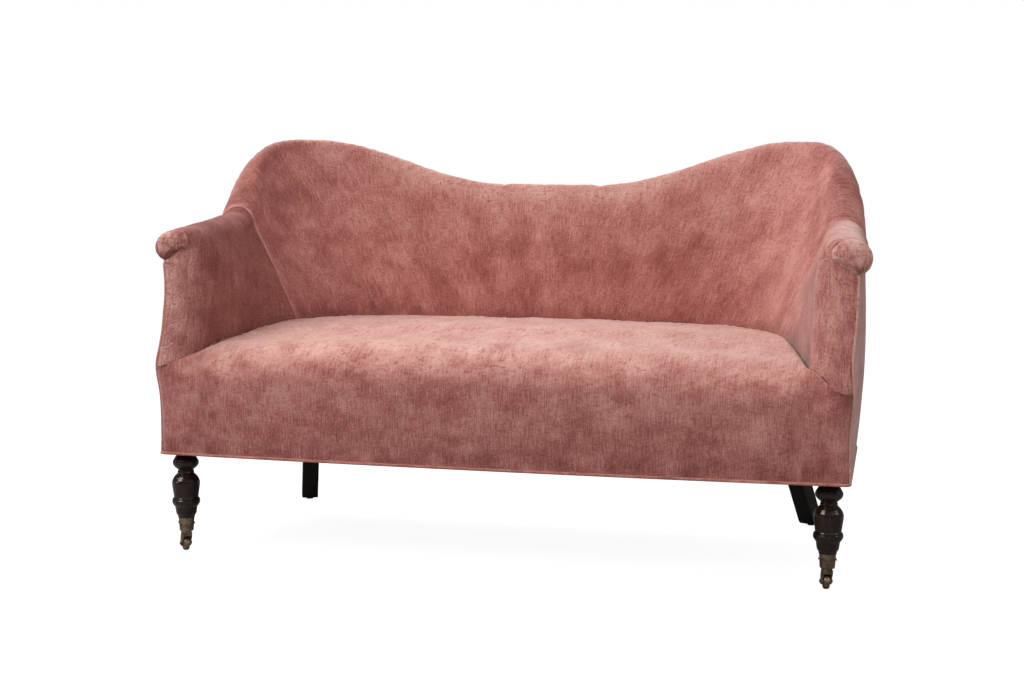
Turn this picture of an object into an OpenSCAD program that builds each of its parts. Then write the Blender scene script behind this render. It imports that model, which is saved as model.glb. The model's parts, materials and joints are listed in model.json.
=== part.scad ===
/* [Seat box] */
// Depth of the seat box from its front face to its back face
box_d = 525; // [515:1:540]
// Height of the bottom edge of the covers above the floor
box_z = 206; // [196:1:226]
// Height of the seat rails
rail_h = 97; // [85:1:105]
// Thickness of the seat rails
rail_t = 26; // [20:1:32]
// Side of the square post blocks in the front corners
block_w = 70; // [66:1:90]
// How far the front border swells past the front face
front_swell = 12; // [6:1:16]

/* [Seat] */
// Width of the seat between the arms at the front
seat_w = 1200; // [1150:5:1250]
// How far each inside arm closes in towards the back
seat_close = 104; // [90:2:116]
// Distance from the inside back at the seat to the back of the seat box
back_set = 45; // [40:1:52]
// Height of the seat's surface beside the arms at the front
seat_z = 412; // [404:1:425]
// How much the seat rises towards the back
seat_rise = 33; // [20:1:45]
// How much the seat is crowned in the middle
seat_crown = 16; // [6:1:26]
// How much the outer front corners of the seat drop
corner_drop = 41; // [30:1:50]
// Depth of the rounded front edge of the seat
edge_d = 52; // [40:1:65]

/* [Back] */
// Height of the top edge in the middle of the back
dip_z = 740; // [715:1:770]
// Height of the two humps of the back
hump_z = 835; // [810:1:860]
// Distance of each hump from the outside of its arm
hump_in = 128; // [110:2:150]
// Length of the level top of each hump
hump_flat = 32; // [20:2:44]
// Length over which the back falls from the hump to the arm
fall_run = 226; // [210:2:240]
// Half length of the level stretch in the middle of the back
dip_run = 100; // [60:5:150]
// How far the humps reach back past the seat box
back_over = 100; // [86:1:112]
// Backward lean of the top edge, in mm per mm of height
back_lean = 0.221; // [0.15:0.01:0.25]
// Thickness of the back at its top edge
back_t = 44; // [42:1:52]
// Half length of the straight stretch in the middle of the back
back_flat = 100; // [80:4:130]
// How far the corner of the back is rounded along the arm
corner_y = 325; // [300:5:350]

/* [Arms] */
// Height of the arm's top at the front
arm_z = 652; // [640:1:664]
// How much the arm rises to the foot of the hump
arm_rise = 26; // [15:1:35]
// Thickness of an arm at its foot, from the seat to the side of the seat box
arm_foot = 77; // [72:1:82]
// How far the arms lean out past the sides of the seat box
arm_flare = 7; // [2:1:12]
// Thickness of the arm below its roll
arm_t = 80; // [74:1:90]
// Depth of the arm's front below its roll, behind the seat's front face
arm_set = 45; // [36:1:52]
// How far the roll stands out past the arm at the front
roll_over = 23; // [14:1:30]
// How far the seat's outer front corner bulges out at its top
corner_out = 7; // [0:1:8]
// Height of the roll above its widest line
roll_h = 44; // [38:1:50]
// Outward swell of the side panels
belly = 11; // [6:1:16]
// Radius of the fold between the inside arm and the arm's front
fold_r = 16; // [10:1:20]

/* [Upholstery] */
// Thickness of the velvet and its backing
cover_t = 3; // [2:0.5:4]
// Gap between pieces that lie on each other
lay_gap = 0.3; // [0.2:0.1:0.5]
// Thickness of hessian and dust cover
cloth_t = 1; // [0.8:0.1:1.5]
// Thickness of webbing
web_t = 1.5; // [1:0.5:2]
// Width of webbing
web_w = 50; // [40:5:60]
// Stuffing on the inside back and arms at its thickest
pad_t = 40; // [30:1:45]
// Diameter of the piping
welt_d = 6; // [4:0.5:7]
// How much the bottom piping sags in the middle of the front
welt_sag = 3; // [0:0.5:5]
// Wire diameter of the seat springs
wire_d = 4; // [3:0.5:5]
// Diameter of the seat springs at their ends
spring_d = 84; // [70:2:96]

/* [Front legs] */
// Distance of each front leg's axis from the side of the seat box
leg_in = 38; // [34:1:44]
// Distance of the front legs' axis behind the front face
leg_y = 38; // [34:1:44]
// Diameter of the leg's bulb and bead
bulb_d = 56; // [48:1:60]
// Diameter of the ring at the top of the leg
ring_d = 52; // [44:1:56]
// Diameter of the neck at the top of the leg
neck_d = 35; // [28:1:40]
// Height of the tenon that holds the leg in its block
tenon_h = 60; // [40:5:75]
// Diameter of the tenon
tenon_d = 20; // [14:1:24]

/* [Castors] */
// Diameter of the castor wheels
wheel_d = 30; // [26:1:34]
// Width of the castor wheels
wheel_w = 12; // [9:1:14]
// Diameter of the castor's cup at its top
cup_d = 32; // [30:1:36]
// Height of the cup's bottom above the floor
cup_z = 42; // [40:1:46]
// Height of the cup
cup_h = 28; // [22:1:32]
// Distance of the wheel's axle behind the swivel pin
trail = 9; // [6:1:12]
// Diameter of the swivel pin
pin_d = 8; // [6:0.5:9]
// Diameter of the axle
axle_d = 4; // [3:0.5:5]
// Running clearance on radius of pin and axle
run_gap = 0.05; // [0.03:0.01:0.08]

/* [Back legs] */
// Width of the square back legs
back_leg_w = 36; // [30:1:42]
// Distance of a back leg's top from the side of the seat box
back_leg_in = 146; // [140:1:152]
// How far the back foot is swept out from the top of its leg
sweep = 136; // [110:2:144]
// Angle by which the back legs are turned outwards
splay = 22; // [15:1:30]
// Height of the glides under the back feet
glide_h = 4.5; // [3:0.5:6]

/* [Hidden] */
$fn = 48;

velvet = "#a2605c";
velvet_dark = "#8a504c";
beech = "#c9a26f";
walnut = "#2f1d13";
brass = "#7b5e3c";
hessian = "#b59a6b";
hair = "#d8cdb8";
steel = "#8b8e92";
cambric = "#242325";

// Places that follow from the sizes above
box_x = seat_w / 2 + arm_foot;
arm_x = box_x + arm_flare;
seat_d = box_d - back_set;
back_reach = box_d + back_over;
hump_run = arm_x - hump_in;
leg_x = box_x - leg_in;
back_leg_x = box_x - back_leg_in;
rail_z = box_z + cover_t;
foot_half = back_leg_w * 0.6;
back_leg_y = box_d - cover_t - lay_gap - back_leg_w * 0.9;
foot_reach = back_leg_y + cos(splay) * (sweep * (1 - glide_h / rail_z) + foot_half)
             + sin(splay) * back_leg_w / 2;
front_y = -(foot_reach - front_swell) / 2;
rail_top = rail_z + rail_h;
skin = cover_t + lay_gap;

// Rounding of the plan lines: the seat box at its back and front corners, and the seat's line
base_corner = 95;
base_corner_more = 25;
corner_r = 10;
seat_round_x = 196;
seat_round_y = 257;

// How the covers swell, draw in and tuck under
waist = 8;
back_puff = 15;
arm_puff = 5;
front_flatter = 8;
seat_tuck = 26;
seat_ease = 4;
rise_run = 400;
edge_h = 62;
lobe_h = 34;
under_share = 0.84;
under_angle = 52;

// Timbers behind the covers: their depth from the outside and their thickness
wood_set = 10;
wood_t = 24;
post_depth = 56;

// Plain helpers
function mix(a, b, t) = a + (b - a) * t;
function held(t) = min(1, max(0, t));
function ease(t) = (1 - cos(180 * held(t))) / 2;
function unit(v) = v / norm(v);
function lift(p, z) = [p.x, p.y, z];

// Half of a plan line from the middle of the back to the front of the arm. Its corner is a parabola
// that starts lb from the crossing along the back and la from it along the arm.
function plan(front, cross_pt, la, lb, steps = 24) =
    let (along = unit(front - cross_pt), a = cross_pt + along * la, b = cross_pt - [lb, 0])
    concat([[0, cross_pt.y]],
           [for (i = [0 : steps]) let (t = i / steps)
               b * (1 - t) * (1 - t) + cross_pt * 2 * t * (1 - t) + a * t * t],
           [front]);

// Running length of a line at each of its points
function runs(p) = [for (i = 0, s = 0; i < len(p);
                         s = s + (i + 1 < len(p) ? norm(p[i + 1] - p[i]) : 0), i = i + 1) s];

// A line with its length tables, and the point at a share of its length
function ruled(p) = let (s = runs(p), n = len(p) - 1)
    [s[n], [for (i = [0 : n]) [s[i], p[i].x]], [for (i = [0 : n]) [s[i], p[i].y]]];
function spot(line, f) = [lookup(f * line[0], line[1]), lookup(f * line[0], line[2])];

base_line = ruled(plan([box_x, front_y], [box_x, front_y + box_d],
                       base_corner, base_corner + base_corner_more));
top_line = ruled(plan([arm_x, front_y + arm_set], [arm_x, front_y + back_reach],
                      corner_y, arm_x - back_flat));
seat_line = ruled(plan([seat_w / 2, front_y], [seat_w / 2 - seat_close, front_y + seat_d],
                       seat_round_y, seat_round_x));

// Outward direction in plan of the top line at a share of its length
function out_dir(f) =
    let (a = spot(top_line, max(0, f - 0.02)), b = spot(top_line, min(1, f + 0.02)), d = unit(b - a))
    [-d.y, d.x, 0];
function base_dir(f) =
    let (a = spot(base_line, max(0, f - 0.01)), b = spot(base_line, min(1, f + 0.01)), d = unit(b - a))
    [-d.y, d.x];

top_run = top_line[0];
fall_start = hump_run + hump_flat;
arm_start = (fall_start + fall_run) / top_run;
seam_f = (fall_start + 0.92 * fall_run) / top_run;

// The seam between back and arm comes at a smaller share of the seat line and of the base line
seat_seam = 0.6;
base_seam = 0.69;
function shared(f, k) = f < seam_f ? f * k / seam_f : 1 - (1 - f) * (1 - k) / (1 - seam_f);

// Height of the top edge: level, up to the hump, down to the arm, then along the arm
function arm_top(s) = arm_z + arm_rise * pow(held((top_run - s) / (top_run - fall_start - fall_run)), 1.1);
function top_z(f) = let (s = f * top_run)
    s < fall_start
        ? mix(dip_z, hump_z, ease((s - dip_run) / (hump_run - dip_run)))
        : mix(hump_z, arm_top(s), pow(held((s - fall_start) / fall_run), 2.4));

// Share of arm in a section: none on the back, all on the arm
function armness(f) = ease((f * top_run - fall_start - 60) / (fall_run - 60));
function cap_h(f) = mix(back_t / 2 + 2, roll_h, armness(f));
function wall_t(f) = mix(back_t, arm_t, armness(f));
function over(f) = roll_over * armness(f) * mix(0.25, 1, pow(held((f - arm_start) / (1 - arm_start)), 1.2));
function spring_z(f) = top_z(f) - cap_h(f);
function back_share(f) = 1 - ease((f * top_run - hump_run) / fall_run);
function lean_at(f, z) = back_lean * (z - hump_z) * back_share(f);

// Points of the wall at a share f along it: its outside and inside at the spring of the top,
// its outside at the bottom and its inside at the seat
function outer_top(f) = let (z = spring_z(f)) lift(spot(top_line, f), z) + [0, lean_at(f, z), 0];
function inner_top(f) = outer_top(f) - out_dir(f) * wall_t(f);
function outer_foot(f) = lift(spot(base_line, shared(f, base_seam)), box_z);
function seat_edge(f) = let (p = spot(seat_line, shared(f, seat_seam))) lift(p, seat_height(p.x, p.y));
function front_lean(z) = arm_set * held((z - seat_z + 30) / (arm_z - roll_h - seat_z + 30));
function front_fix(f, z) = let (g = held((f - arm_start) / (1 - arm_start)), s = spring_z(f))
    g * (front_lean(z) - arm_set * held((z - box_z) / (s - box_z)));
function outer_at(f, z) =
    let (a = outer_foot(f), b = outer_top(f), t = (z - box_z) / (b.z - box_z),
         swell = mix(-waist, belly, held((1 - f) / 0.14)) * 4 * held(t) * (1 - held(t)))
    mix(a, b, t) + out_dir(f) * (swell + edge_out(z) * held((f - 0.94) / 0.06)) + [0, front_fix(f, z), 0];
function edge_out(z) = corner_out * exp(-pow((z - seat_z + corner_drop) / 50, 2));
function inner_at(f, t) =
    let (a = seat_edge(f) - [0, 0, seat_tuck], b = inner_top(f),
         swell = mix(back_puff, arm_puff, armness(f)) - front_flatter * held((f - 0.9) / 0.1))
    mix(a, b, t) - out_dir(f) * swell * 4 * t * (1 - t);

// Ring over the top of the wall. Angle 0 is inside, 90 on top, 180 outside and more is under the roll.
function cap_at(f, angle, inset = 0) =
    let (c = (inner_top(f) + outer_top(f)) / 2, n = out_dir(f), h = wall_t(f) / 2,
         w = (angle < 90 ? h : h + over(f)) - inset,
         tall = (angle <= 180 ? cap_h(f) : cap_h(f) * under_share) - inset)
    c + n * (-cos(angle)) * w + [0, 0, sin(angle) * tall];

// Seat surface: it rises to the back, is crowned, and drops at its outer front corners
function seat_height(x, y) =
    let (a = abs(x), d = y - front_y, half = seat_w / 2,
         drop = corner_drop * ease((a - half) / (0.86 * (box_x - half))))
    seat_z + seat_rise * sin(90 * held(d / rise_run)) - drop
    + seat_crown * (1 - pow(held(a / half), 2)) * (0.45 + 0.55 * sin(180 * held(d / seat_d)));

// Grid helpers: outward normals, a shifted copy and a closed solid between two grids
function grid_normal(p, i, j) =
    let (r = len(p) - 1, c = len(p[0]) - 1,
         di = p[min(r, i + 1)][j] - p[max(0, i - 1)][j],
         dj = p[i][min(c, j + 1)] - p[i][max(0, j - 1)])
    unit(cross(di, dj));
function shifted(p, t) = [for (i = [0 : len(p) - 1]) [for (j = [0 : len(p[0]) - 1])
    p[i][j] + grid_normal(p, i, j) * t]];
function joined(g) = [for (row = g) for (q = row) q];

module slab(upper, lower) {
    r = len(upper);
    c = len(upper[0]);
    n = r * c;
    faces = concat(
        [for (i = [0 : r - 2]) for (j = [0 : c - 2]) for (k = [0 : 1])
            let (a = i * c + j, b = a + 1, d = a + c, e = d + 1) k == 0 ? [a, b, e] : [a, e, d]],
        [for (i = [0 : r - 2]) for (j = [0 : c - 2]) for (k = [0 : 1])
            let (a = n + i * c + j, b = a + 1, d = a + c, e = d + 1) k == 0 ? [a, e, b] : [a, d, e]],
        [for (j = [0 : c - 2]) for (k = [0 : 1])
            let (a = j, b = j + 1) k == 0 ? [b, a, n + a] : [b, n + a, n + b]],
        [for (j = [0 : c - 2]) for (k = [0 : 1])
            let (a = n - c + j, b = a + 1) k == 0 ? [a, b, n + b] : [a, n + b, n + a]],
        [for (i = [0 : r - 2]) for (k = [0 : 1])
            let (a = i * c, b = a + c) k == 0 ? [a, b, n + b] : [a, n + b, n + a]],
        [for (i = [0 : r - 2]) for (k = [0 : 1])
            let (a = i * c + c - 1, b = a + c) k == 0 ? [b, a, n + a] : [b, n + a, n + b]]);
    polyhedron(concat(joined(upper), joined(lower)), faces, convexity = 10);
}

// Closed bar through a list of rings, all with the same number of points
module bar(rings) {
    m = len(rings[0]);
    last = (len(rings) - 1) * m;
    faces = concat(
        [for (i = [0 : len(rings) - 2]) for (k = [0 : m - 1]) for (s = [0 : 1])
            let (a = i * m + k, b = i * m + (k + 1) % m, d = a + m, e = b + m)
            s == 0 ? [a, b, e] : [a, e, d]],
        [for (k = [1 : m - 2]) [0, k + 1, k]],
        [for (k = [1 : m - 2]) [last, last + k, last + k + 1]]);
    polyhedron(joined(rings), faces, convexity = 10);
}

module both_sides() {
    children();
    mirror([1, 0, 0]) children();
}

// Shares of the run at which the wall's pieces have their sections
half_shares = [0, 0.1, 0.2, 0.3, 0.4, 0.5, 0.6, 0.68, 0.74, 0.79, 0.84, 0.89, 0.94, 1];
back_fs = [for (i = [-13 : 13]) seam_f * sign(i) * half_shares[abs(i)]];
arm_end = 1 - fold_r / top_run;
arm_f0 = seam_f + 2.4 / top_run;
arm_fs = [for (i = [0 : 6]) mix(arm_f0, arm_end, i / 6)];

// A section function works on the right half; the left half is its mirror image
function side_f(f, p) = f < 0 ? [-p.x, p.y, p.z] : p;

face_ts = [0, 0.2, 0.42, 0.64, 0.84, 1];
back_caps = [30, 60, 90, 120, 150, 180];
arm_caps = [24, 46, 68, 90, 112, 134, 157, 180, 205, 180 + under_angle];

// Rows of the inside covers: up the inside, then over the top
function wall_row(f, caps) = let (a = abs(f)) concat(
    [for (t = face_ts) side_f(f, inner_at(a, t))],
    [for (c = caps) side_f(f, cap_at(a, c))]);
function frame_row(f, caps) = let (a = abs(f)) concat(
    [for (t = face_ts) side_f(f, pad_back(a, t))],
    [for (c = caps) side_f(f, cap_at(a, c, skin + mix(4, 10, armness(a))))]);

// Back of the stuffing: at most its thickness behind the cover, and in front of the frame
function pad_back(f, t) =
    let (p = inner_at(f, t), a = outer_foot(f), b = outer_top(f),
         depth = mix(wood_in + strap_gap + web_t + 3 * lay_gap, post_depth, armness(f)),
         q = mix(a, b, (p.z - box_z) / (b.z - box_z)) - out_dir(f) * depth, v = q - p, l = norm(v))
    p + v * min(1, (pad_t + skin) / l);

// Square timber that follows the wall, between two depths from its outside and two heights
function wood_ring(f, d0, d1, z0, z1) =
    let (a = abs(f), n = out_dir(a), q = outer_top(a), foot = outer_foot(a))
    [for (c = [[d0, z0], [d1, z0], [d1, z1], [d0, z1]])
        side_f(f, mix(foot, q, (c.y - foot.z) / (q.z - foot.z)) - n * c.x)];

wood_in = wood_set + wood_t;
strap_gap = 3.4;
top_rail_drop = 19;
top_rail_h = 52;
arm_wood = [26, 50];
function top_rail_ring(f) = let (s = armness(abs(f)), z = top_z(abs(f)) - mix(top_rail_drop, arm_wood[0], s))
    wood_ring(f, mix(wood_set, arm_wood[0], s), mix(wood_in, arm_wood[1], s), z - top_rail_h, z);

post_y = front_y + arm_set + 7;
post_t = 25;
post_back = post_y + post_t;
arm_rail_f = 1 - (post_back + 5 - front_y - arm_set) / top_run;
arm_rail_fs = [for (i = [0 : 6]) mix(seam_f, arm_rail_f, i / 6)];

module front_rail() color(beech)
    difference() {
        translate([-(box_x - skin - block_w), front_y + skin, rail_z])
            cube([2 * (box_x - skin - block_w), rail_t, rail_h]);
        both_sides() dowels(run_gap);
    }

back_block_w = 54;
block_back_x = box_x - base_corner - base_corner_more - back_block_w;
module back_rail() color(beech)
    difference() {
        translate([-block_back_x, front_y + box_d - skin - rail_t, rail_z])
            cube([2 * block_back_x, rail_t, rail_h]);
        both_sides() dowels(run_gap);
    }

side_rail_gap = 30;
side_rail_end = front_y + box_d - base_corner - side_rail_gap;
module side_rail() color(beech)
    difference() {
        translate([box_x - skin - rail_t, front_y + skin + block_w, rail_z])
            cube([rail_t, side_rail_end - front_y - skin - block_w, rail_h]);
        dowels(run_gap);
    }
module left_side_rail() mirror([1, 0, 0]) side_rail();
module right_side_rail() side_rail();

// Two rails across the seat box, from the front rail to the back rail
spring_pitch = 215;
cross_x = 1.5 * spring_pitch;
module cross_rails() color(beech)
    for (s = [-1, 1])
        translate([s * cross_x - rail_t / 2, front_y + skin + rail_t, rail_z])
            cube([rail_t, box_d - 2 * skin - 2 * rail_t, rail_h / 3]);

block_in = 7;
block_chamfer = [22, 16];
module front_blocks() color(beech)
    both_sides()
        difference() {
            translate([box_x - skin - block_w, front_y + skin, rail_z])
                linear_extrude(rail_h)
                    polygon([[0, 0], [block_w - block_chamfer.x, 0],
                             [block_w - block_in, block_chamfer.y], [block_w - block_in, block_w],
                             [0, block_w]]);
            translate([leg_x, front_y + leg_y, rail_z - 1])
                cylinder(d = tenon_d + 2 * run_gap, h = tenon_h + 2);
            dowels(run_gap);
        }

// Solid back corner blocks, rounded outside like the covers
block_more = 34;
block_side = 40;
block_f0 = block_back_x / base_line[0];
block_f1 = 1 - (side_rail_end - front_y) / base_line[0];
module back_blocks() color(beech)
    both_sides()
        difference() {
            translate([0, 0, rail_z])
                linear_extrude(rail_h)
                    polygon(concat(
                        [[block_back_x, front_y + box_d - skin]],
                        [for (i = [1 : 9]) let (f = mix(block_f0, block_f1, i / 10))
                            spot(base_line, f) - base_dir(f) * (skin + block_in)],
                        [[box_x - skin, side_rail_end],
                         [box_x - skin - rail_t - block_side, side_rail_end],
                         [block_back_x, front_y + box_d - skin - rail_t - block_more]]));
            translate(back_leg_top) translate([0, 0, -1])
                cylinder(d = tenon_d + 2 * run_gap, h = tenon_h + 2);
            dowels(run_gap);
        }
back_leg_top = [back_leg_x, front_y + back_leg_y, rail_z];

// Dowels that hold the rails to the corner blocks: two at each end of the front, side and back rails
dowel_d = 10;
dowel_l = 56;
dowel_edge = 26;
dowel_zs = [rail_z + dowel_edge, rail_top - dowel_edge];
module dowels(grow = 0) {
    for (z = dowel_zs) {
        translate([box_x - skin - block_w, front_y + skin + rail_t / 2, z])
            rotate([0, 90, 0]) cylinder(d = dowel_d + 2 * grow, h = dowel_l + 2 * grow, center = true);
        translate([box_x - skin - rail_t / 2, front_y + skin + block_w, z])
            rotate([90, 0, 0]) cylinder(d = dowel_d + 2 * grow, h = dowel_l + 2 * grow, center = true);
        translate([box_x - skin - rail_t / 2, side_rail_end, z])
            rotate([90, 0, 0]) cylinder(d = dowel_d + 2 * grow, h = dowel_l + 2 * grow, center = true);
        translate([block_back_x, front_y + box_d - skin - rail_t / 2, z])
            rotate([0, 90, 0]) cylinder(d = dowel_d + 2 * grow, h = dowel_l + 2 * grow, center = true);
    }
}
module frame_dowels() color(beech)
    both_sides() dowels();

// Post in each arm: a wide foot, a shaft and a round head inside the roll
post_w = 42;
post_x = arm_x - wood_set - post_w - 2;
post_foot = [52, 62];
post_step = 14;
head_in = 18;
module arm_post() color(beech)
    translate([0, post_back, 0])
        rotate([90, 0, 0])
            linear_extrude(post_t) {
                translate([post_x - post_step, rail_top]) square(post_foot);
                translate([post_x, rail_top]) square([post_w, roll_z - rail_top]);
                translate([arm_x - wood_set - post_w / 2 + 1, roll_z + 1]) circle(r = roll_h - head_in);
            }
module left_arm_post() mirror([1, 0, 0]) arm_post();
module right_arm_post() arm_post();

module arm_rail() color(beech)
    bar([for (f = arm_rail_fs) top_rail_ring(f)]);
module left_arm_rail() mirror([1, 0, 0]) arm_rail();
module right_arm_rail() arm_rail();

// Lower rail inside the arm, where the inside arm is tacked
tack_z = rail_top + 12;
tack_h = 34;
tack_in = 12;
function tack_ring(f) = let (p = spot(seat_line, f), q = spot(base_line, f))
    [for (c = [[0, 0], [0, 1], [1, 1], [1, 0]])
        lift([max(p.x + seat_tuck, post_x - tack_in) + c.x * wood_t, q.y], tack_z + c.y * tack_h)];
tack_f0 = 1 - (post_back - front_y) / base_line[0];
tack_f1 = 1 - (box_d - base_corner - 2 * side_rail_gap) / base_line[0];
module arm_tack_rail() color(beech)
    bar([for (i = [0 : 6]) tack_ring(mix(tack_f1, tack_f0, i / 6))]);
module left_arm_tack_rail() mirror([1, 0, 0]) arm_tack_rail();
module right_arm_tack_rail() arm_tack_rail();

// Uprights stand on the back rail and meet the underside of the top rail, one section wide
function upright(i) =
    let (a = back_fs[i], b = back_fs[i + 1], ra = top_rail_ring(a), rb = top_rail_ring(b),
         y1 = front_y + box_d - skin, y0 = y1 - wood_t)
    [[[ra[0].x, y1, rail_top], [rb[0].x, y1, rail_top], [rb[1].x, y0, rail_top], [ra[1].x, y0, rail_top]],
     [ra[0], rb[0], rb[1], ra[1]]];
module back_uprights() color(beech)
    for (i = [10, 15]) bar(upright(i));
module back_posts() color(beech)
    for (i = [5, 20]) bar(upright(i));
module back_top_rail() color(beech)
    bar([for (f = back_fs) top_rail_ring(f)]);

// Batten across the front of the uprights, behind the seat
batten_z = rail_top + 60;
batten = [12, 30];
batten_fs = [for (i = [6 : 20]) back_fs[i]];
function upright_face(f) =
    let (r = top_rail_ring(f), y0 = front_y + box_d - skin - wood_t,
         k = (r[1] - [r[1].x, y0, rail_top]) / (r[1].z - rail_top))
    [for (c = [[0, 0], [batten.x, 0], [batten.x, batten.y], [0, batten.y]])
        [r[1].x, y0 - 4 * lay_gap - c.x + k.y * (batten_z + c.y - rail_top), batten_z + c.y]];
module back_tack_rail() color(beech)
    bar([for (f = batten_fs) upright_face(f)]);

// Springs stand on the webbing in two rows
spring_rows = 2;
spring_count = 5;
spring_turns = 4;
spring_z0 = rail_z + lay_gap + wire_d / 2;
spring_z1 = rail_top - wire_d / 2 - lay_gap;
row_pitch = 180;
row_y0 = front_y + 155;
web_z = rail_z - web_t;
cloth_in = 14;
module seat_webbing() color(hessian)
    union() {
        for (r = [0 : spring_rows - 1])
            translate([-box_x + cloth_in, row_y0 + r * row_pitch - web_w / 2, web_z])
                cube([2 * (box_x - cloth_in), web_w, web_t]);
        for (i = [0 : spring_count - 1])
            translate([(i - (spring_count - 1) / 2) * spring_pitch - web_w / 2, front_y + cloth_in, web_z])
                cube([web_w, box_d - 2 * cloth_in, web_t]);
    }

// One unbroken helix with a flat-lying start and end
spring_draw = 0.18;
function helix_pt(a, turns, r, z0, z1) = let (t = a / (360 * turns), w = r * (1 - spring_draw * sin(180 * t)))
    [w * cos(a), w * sin(a), mix(z0, z1, t)];
module spring() {
    steps = spring_turns * 8;
    r = spring_d / 2;
    bar([for (i = [0 : steps])
        let (a = i * 45, c = helix_pt(a, spring_turns, r, spring_z0, spring_z1), out = [cos(a), sin(a), 0])
        [for (k = [0 : 4]) c + out * cos(k * 72) * wire_d / 2 + [0, 0, sin(k * 72) * wire_d / 2]]]);
}
module seat_springs() color(steel)
    for (r = [0 : spring_rows - 1])
        for (i = [0 : spring_count - 1])
            translate([(i - (spring_count - 1) / 2) * spring_pitch, row_y0 + r * row_pitch, 0]) spring();

// Hessian over the springs, cut out round the corner blocks and the back's timbers
hess_z = rail_top + lay_gap;
hess_side = box_x - cloth_in;
hess_block = front_y + block_w + cloth_in;
hess_back = front_y + box_d - skin - wood_t - block_in;
hess_half = [[hess_side - block_w, front_y + cloth_in], [hess_side - block_w, hess_block],
             [hess_side, hess_block], [hess_side, side_rail_end - block_in],
             [block_back_x - 2 * block_in, hess_back]];
module seat_hessian() color(hessian)
    translate([0, 0, hess_z])
        linear_extrude(cloth_t)
            polygon(concat(hess_half,
                           [for (i = [len(hess_half) - 1 : -1 : 0]) [-hess_half[i].x, hess_half[i].y]]));

// Seat columns: across the back line and the inside arms, then over the lobes in front of the arms
lobe_x = box_x - seat_w / 2;
lobe_shares = [0.12, 0.4, 0.68, 0.88, 1];
lobe_back = [2, 5];
half_cols = concat(
    [for (f = [0.09, 0.18, 0.27, 0.36, 0.45, 0.53, 0.61, 0.7, 0.8, 0.9, 0.975])
        let (p = spot(seat_line, f)) [p.x - seat_ease, p.y - seat_ease]],
    [for (s = lobe_shares)
        [seat_w / 2 + (lobe_x - welt_d / 2 - lay_gap) * s, front_y - mix(lobe_back[0], lobe_back[1], s)]]);
cols = concat([for (i = [len(half_cols) - 1 : -1 : 0]) [-half_cols[i].x, half_cols[i].y]],
              [[0, front_y + seat_d - seat_ease]], half_cols);
function sag_z(x) = box_z - welt_sag * (1 - pow(x / box_x, 2));
function cover_foot(x) = sag_z(x) + welt_d / 2 + lay_gap;
edge_angles = [0, 22, 45, 68, 90];
top_shares = [0.1, 0.28, 0.5, 0.75, 1];
front_zs = [0, 0.35, 0.7];

// One column of the seat's surface, from the bottom of the front border over the edge to the back line
function seat_col(c) =
    let (a = abs(c.x), room = c.y - front_y + front_swell,
         turn = 1.8 * corner_r,
         round_in = corner_r * pow(held((a - box_x + turn) / (turn - welt_d / 2 - lay_gap)), 2),
         d = min(edge_d, room * 0.8), y0 = front_y - front_swell + round_in,
         zt = seat_height(c.x, y0 + d), h = mix(edge_h, lobe_h, held((a - seat_w / 2) / lobe_x)), zc = zt - h)
    concat(
        [for (s = front_zs) [c.x, front_y + round_in - front_swell * sin(90 * s),
                             mix(cover_foot(c.x), zc, s)]],
        [for (g = edge_angles) [c.x, y0 + d * (1 - cos(g)), zc + h * sin(g)]],
        [for (s = top_shares) let (y = mix(y0 + d, c.y, s))
            [c.x, y, mix(zt, seat_height(c.x, y), min(1, s * 3))]]);
function lobe_out(p) = p + [sign(p.x) * edge_out(p.z) * pow(held((abs(p.x) - seat_w / 2) / lobe_x), 2), 0, 0];
seat_grid = [for (c = cols) [for (p = seat_col(c)) lobe_out(p)]];
module seat_cover() color(velvet)
    slab(seat_grid, shifted(seat_grid, -cover_t));

// The stuffing fills the cover down to the hessian
pad_from = len(front_zs) - 1;
pad_z = rail_top + cloth_t + 2 * lay_gap;
pad_cols = [len(lobe_shares) : len(cols) - 1 - len(lobe_shares)];
pad_skin = shifted(seat_grid, -skin);
seat_pad_top = [for (i = pad_cols) [for (j = [pad_from : len(pad_skin[i]) - 1]) pad_skin[i][j]]];
module seat_pad() color(hair)
    slab(seat_pad_top, [for (row = seat_pad_top) [for (j = [0 : len(row) - 1])
        [row[j].x, max(row[j].y, front_y + skin + j), pad_z]]]);

back_grid = [for (f = back_fs) wall_row(f, back_caps)];
module back_cover() color(velvet)
    slab(back_grid, shifted(back_grid, -cover_t));
module back_pad() color(hair)
    slab(shifted(back_grid, -skin), [for (f = back_fs) frame_row(f, back_caps)]);

// Webbing on the front of the back frame, from the batten to the top rail
strap_at = [7, 9, 12, 14, 17, 19];
strap_ends = [4, 30];
function strap(f) = let (z0 = batten_z + batten.y + strap_ends[0], z1 = spring_z(abs(f)) - strap_ends[1],
                         n = out_dir(abs(f)),
                         side = [n.y, -sign(f) * n.x, 0] * web_w / 2)
    [for (z = [z0, z1]) let (r = wood_ring(f, wood_in + strap_gap, wood_in + strap_gap + web_t, z, z + 1))
        [r[0] - side, r[0] + side, r[1] + side, r[1] - side]];
module back_webbing() color(hessian)
    for (i = strap_at) bar(strap(back_fs[i]));

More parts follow.
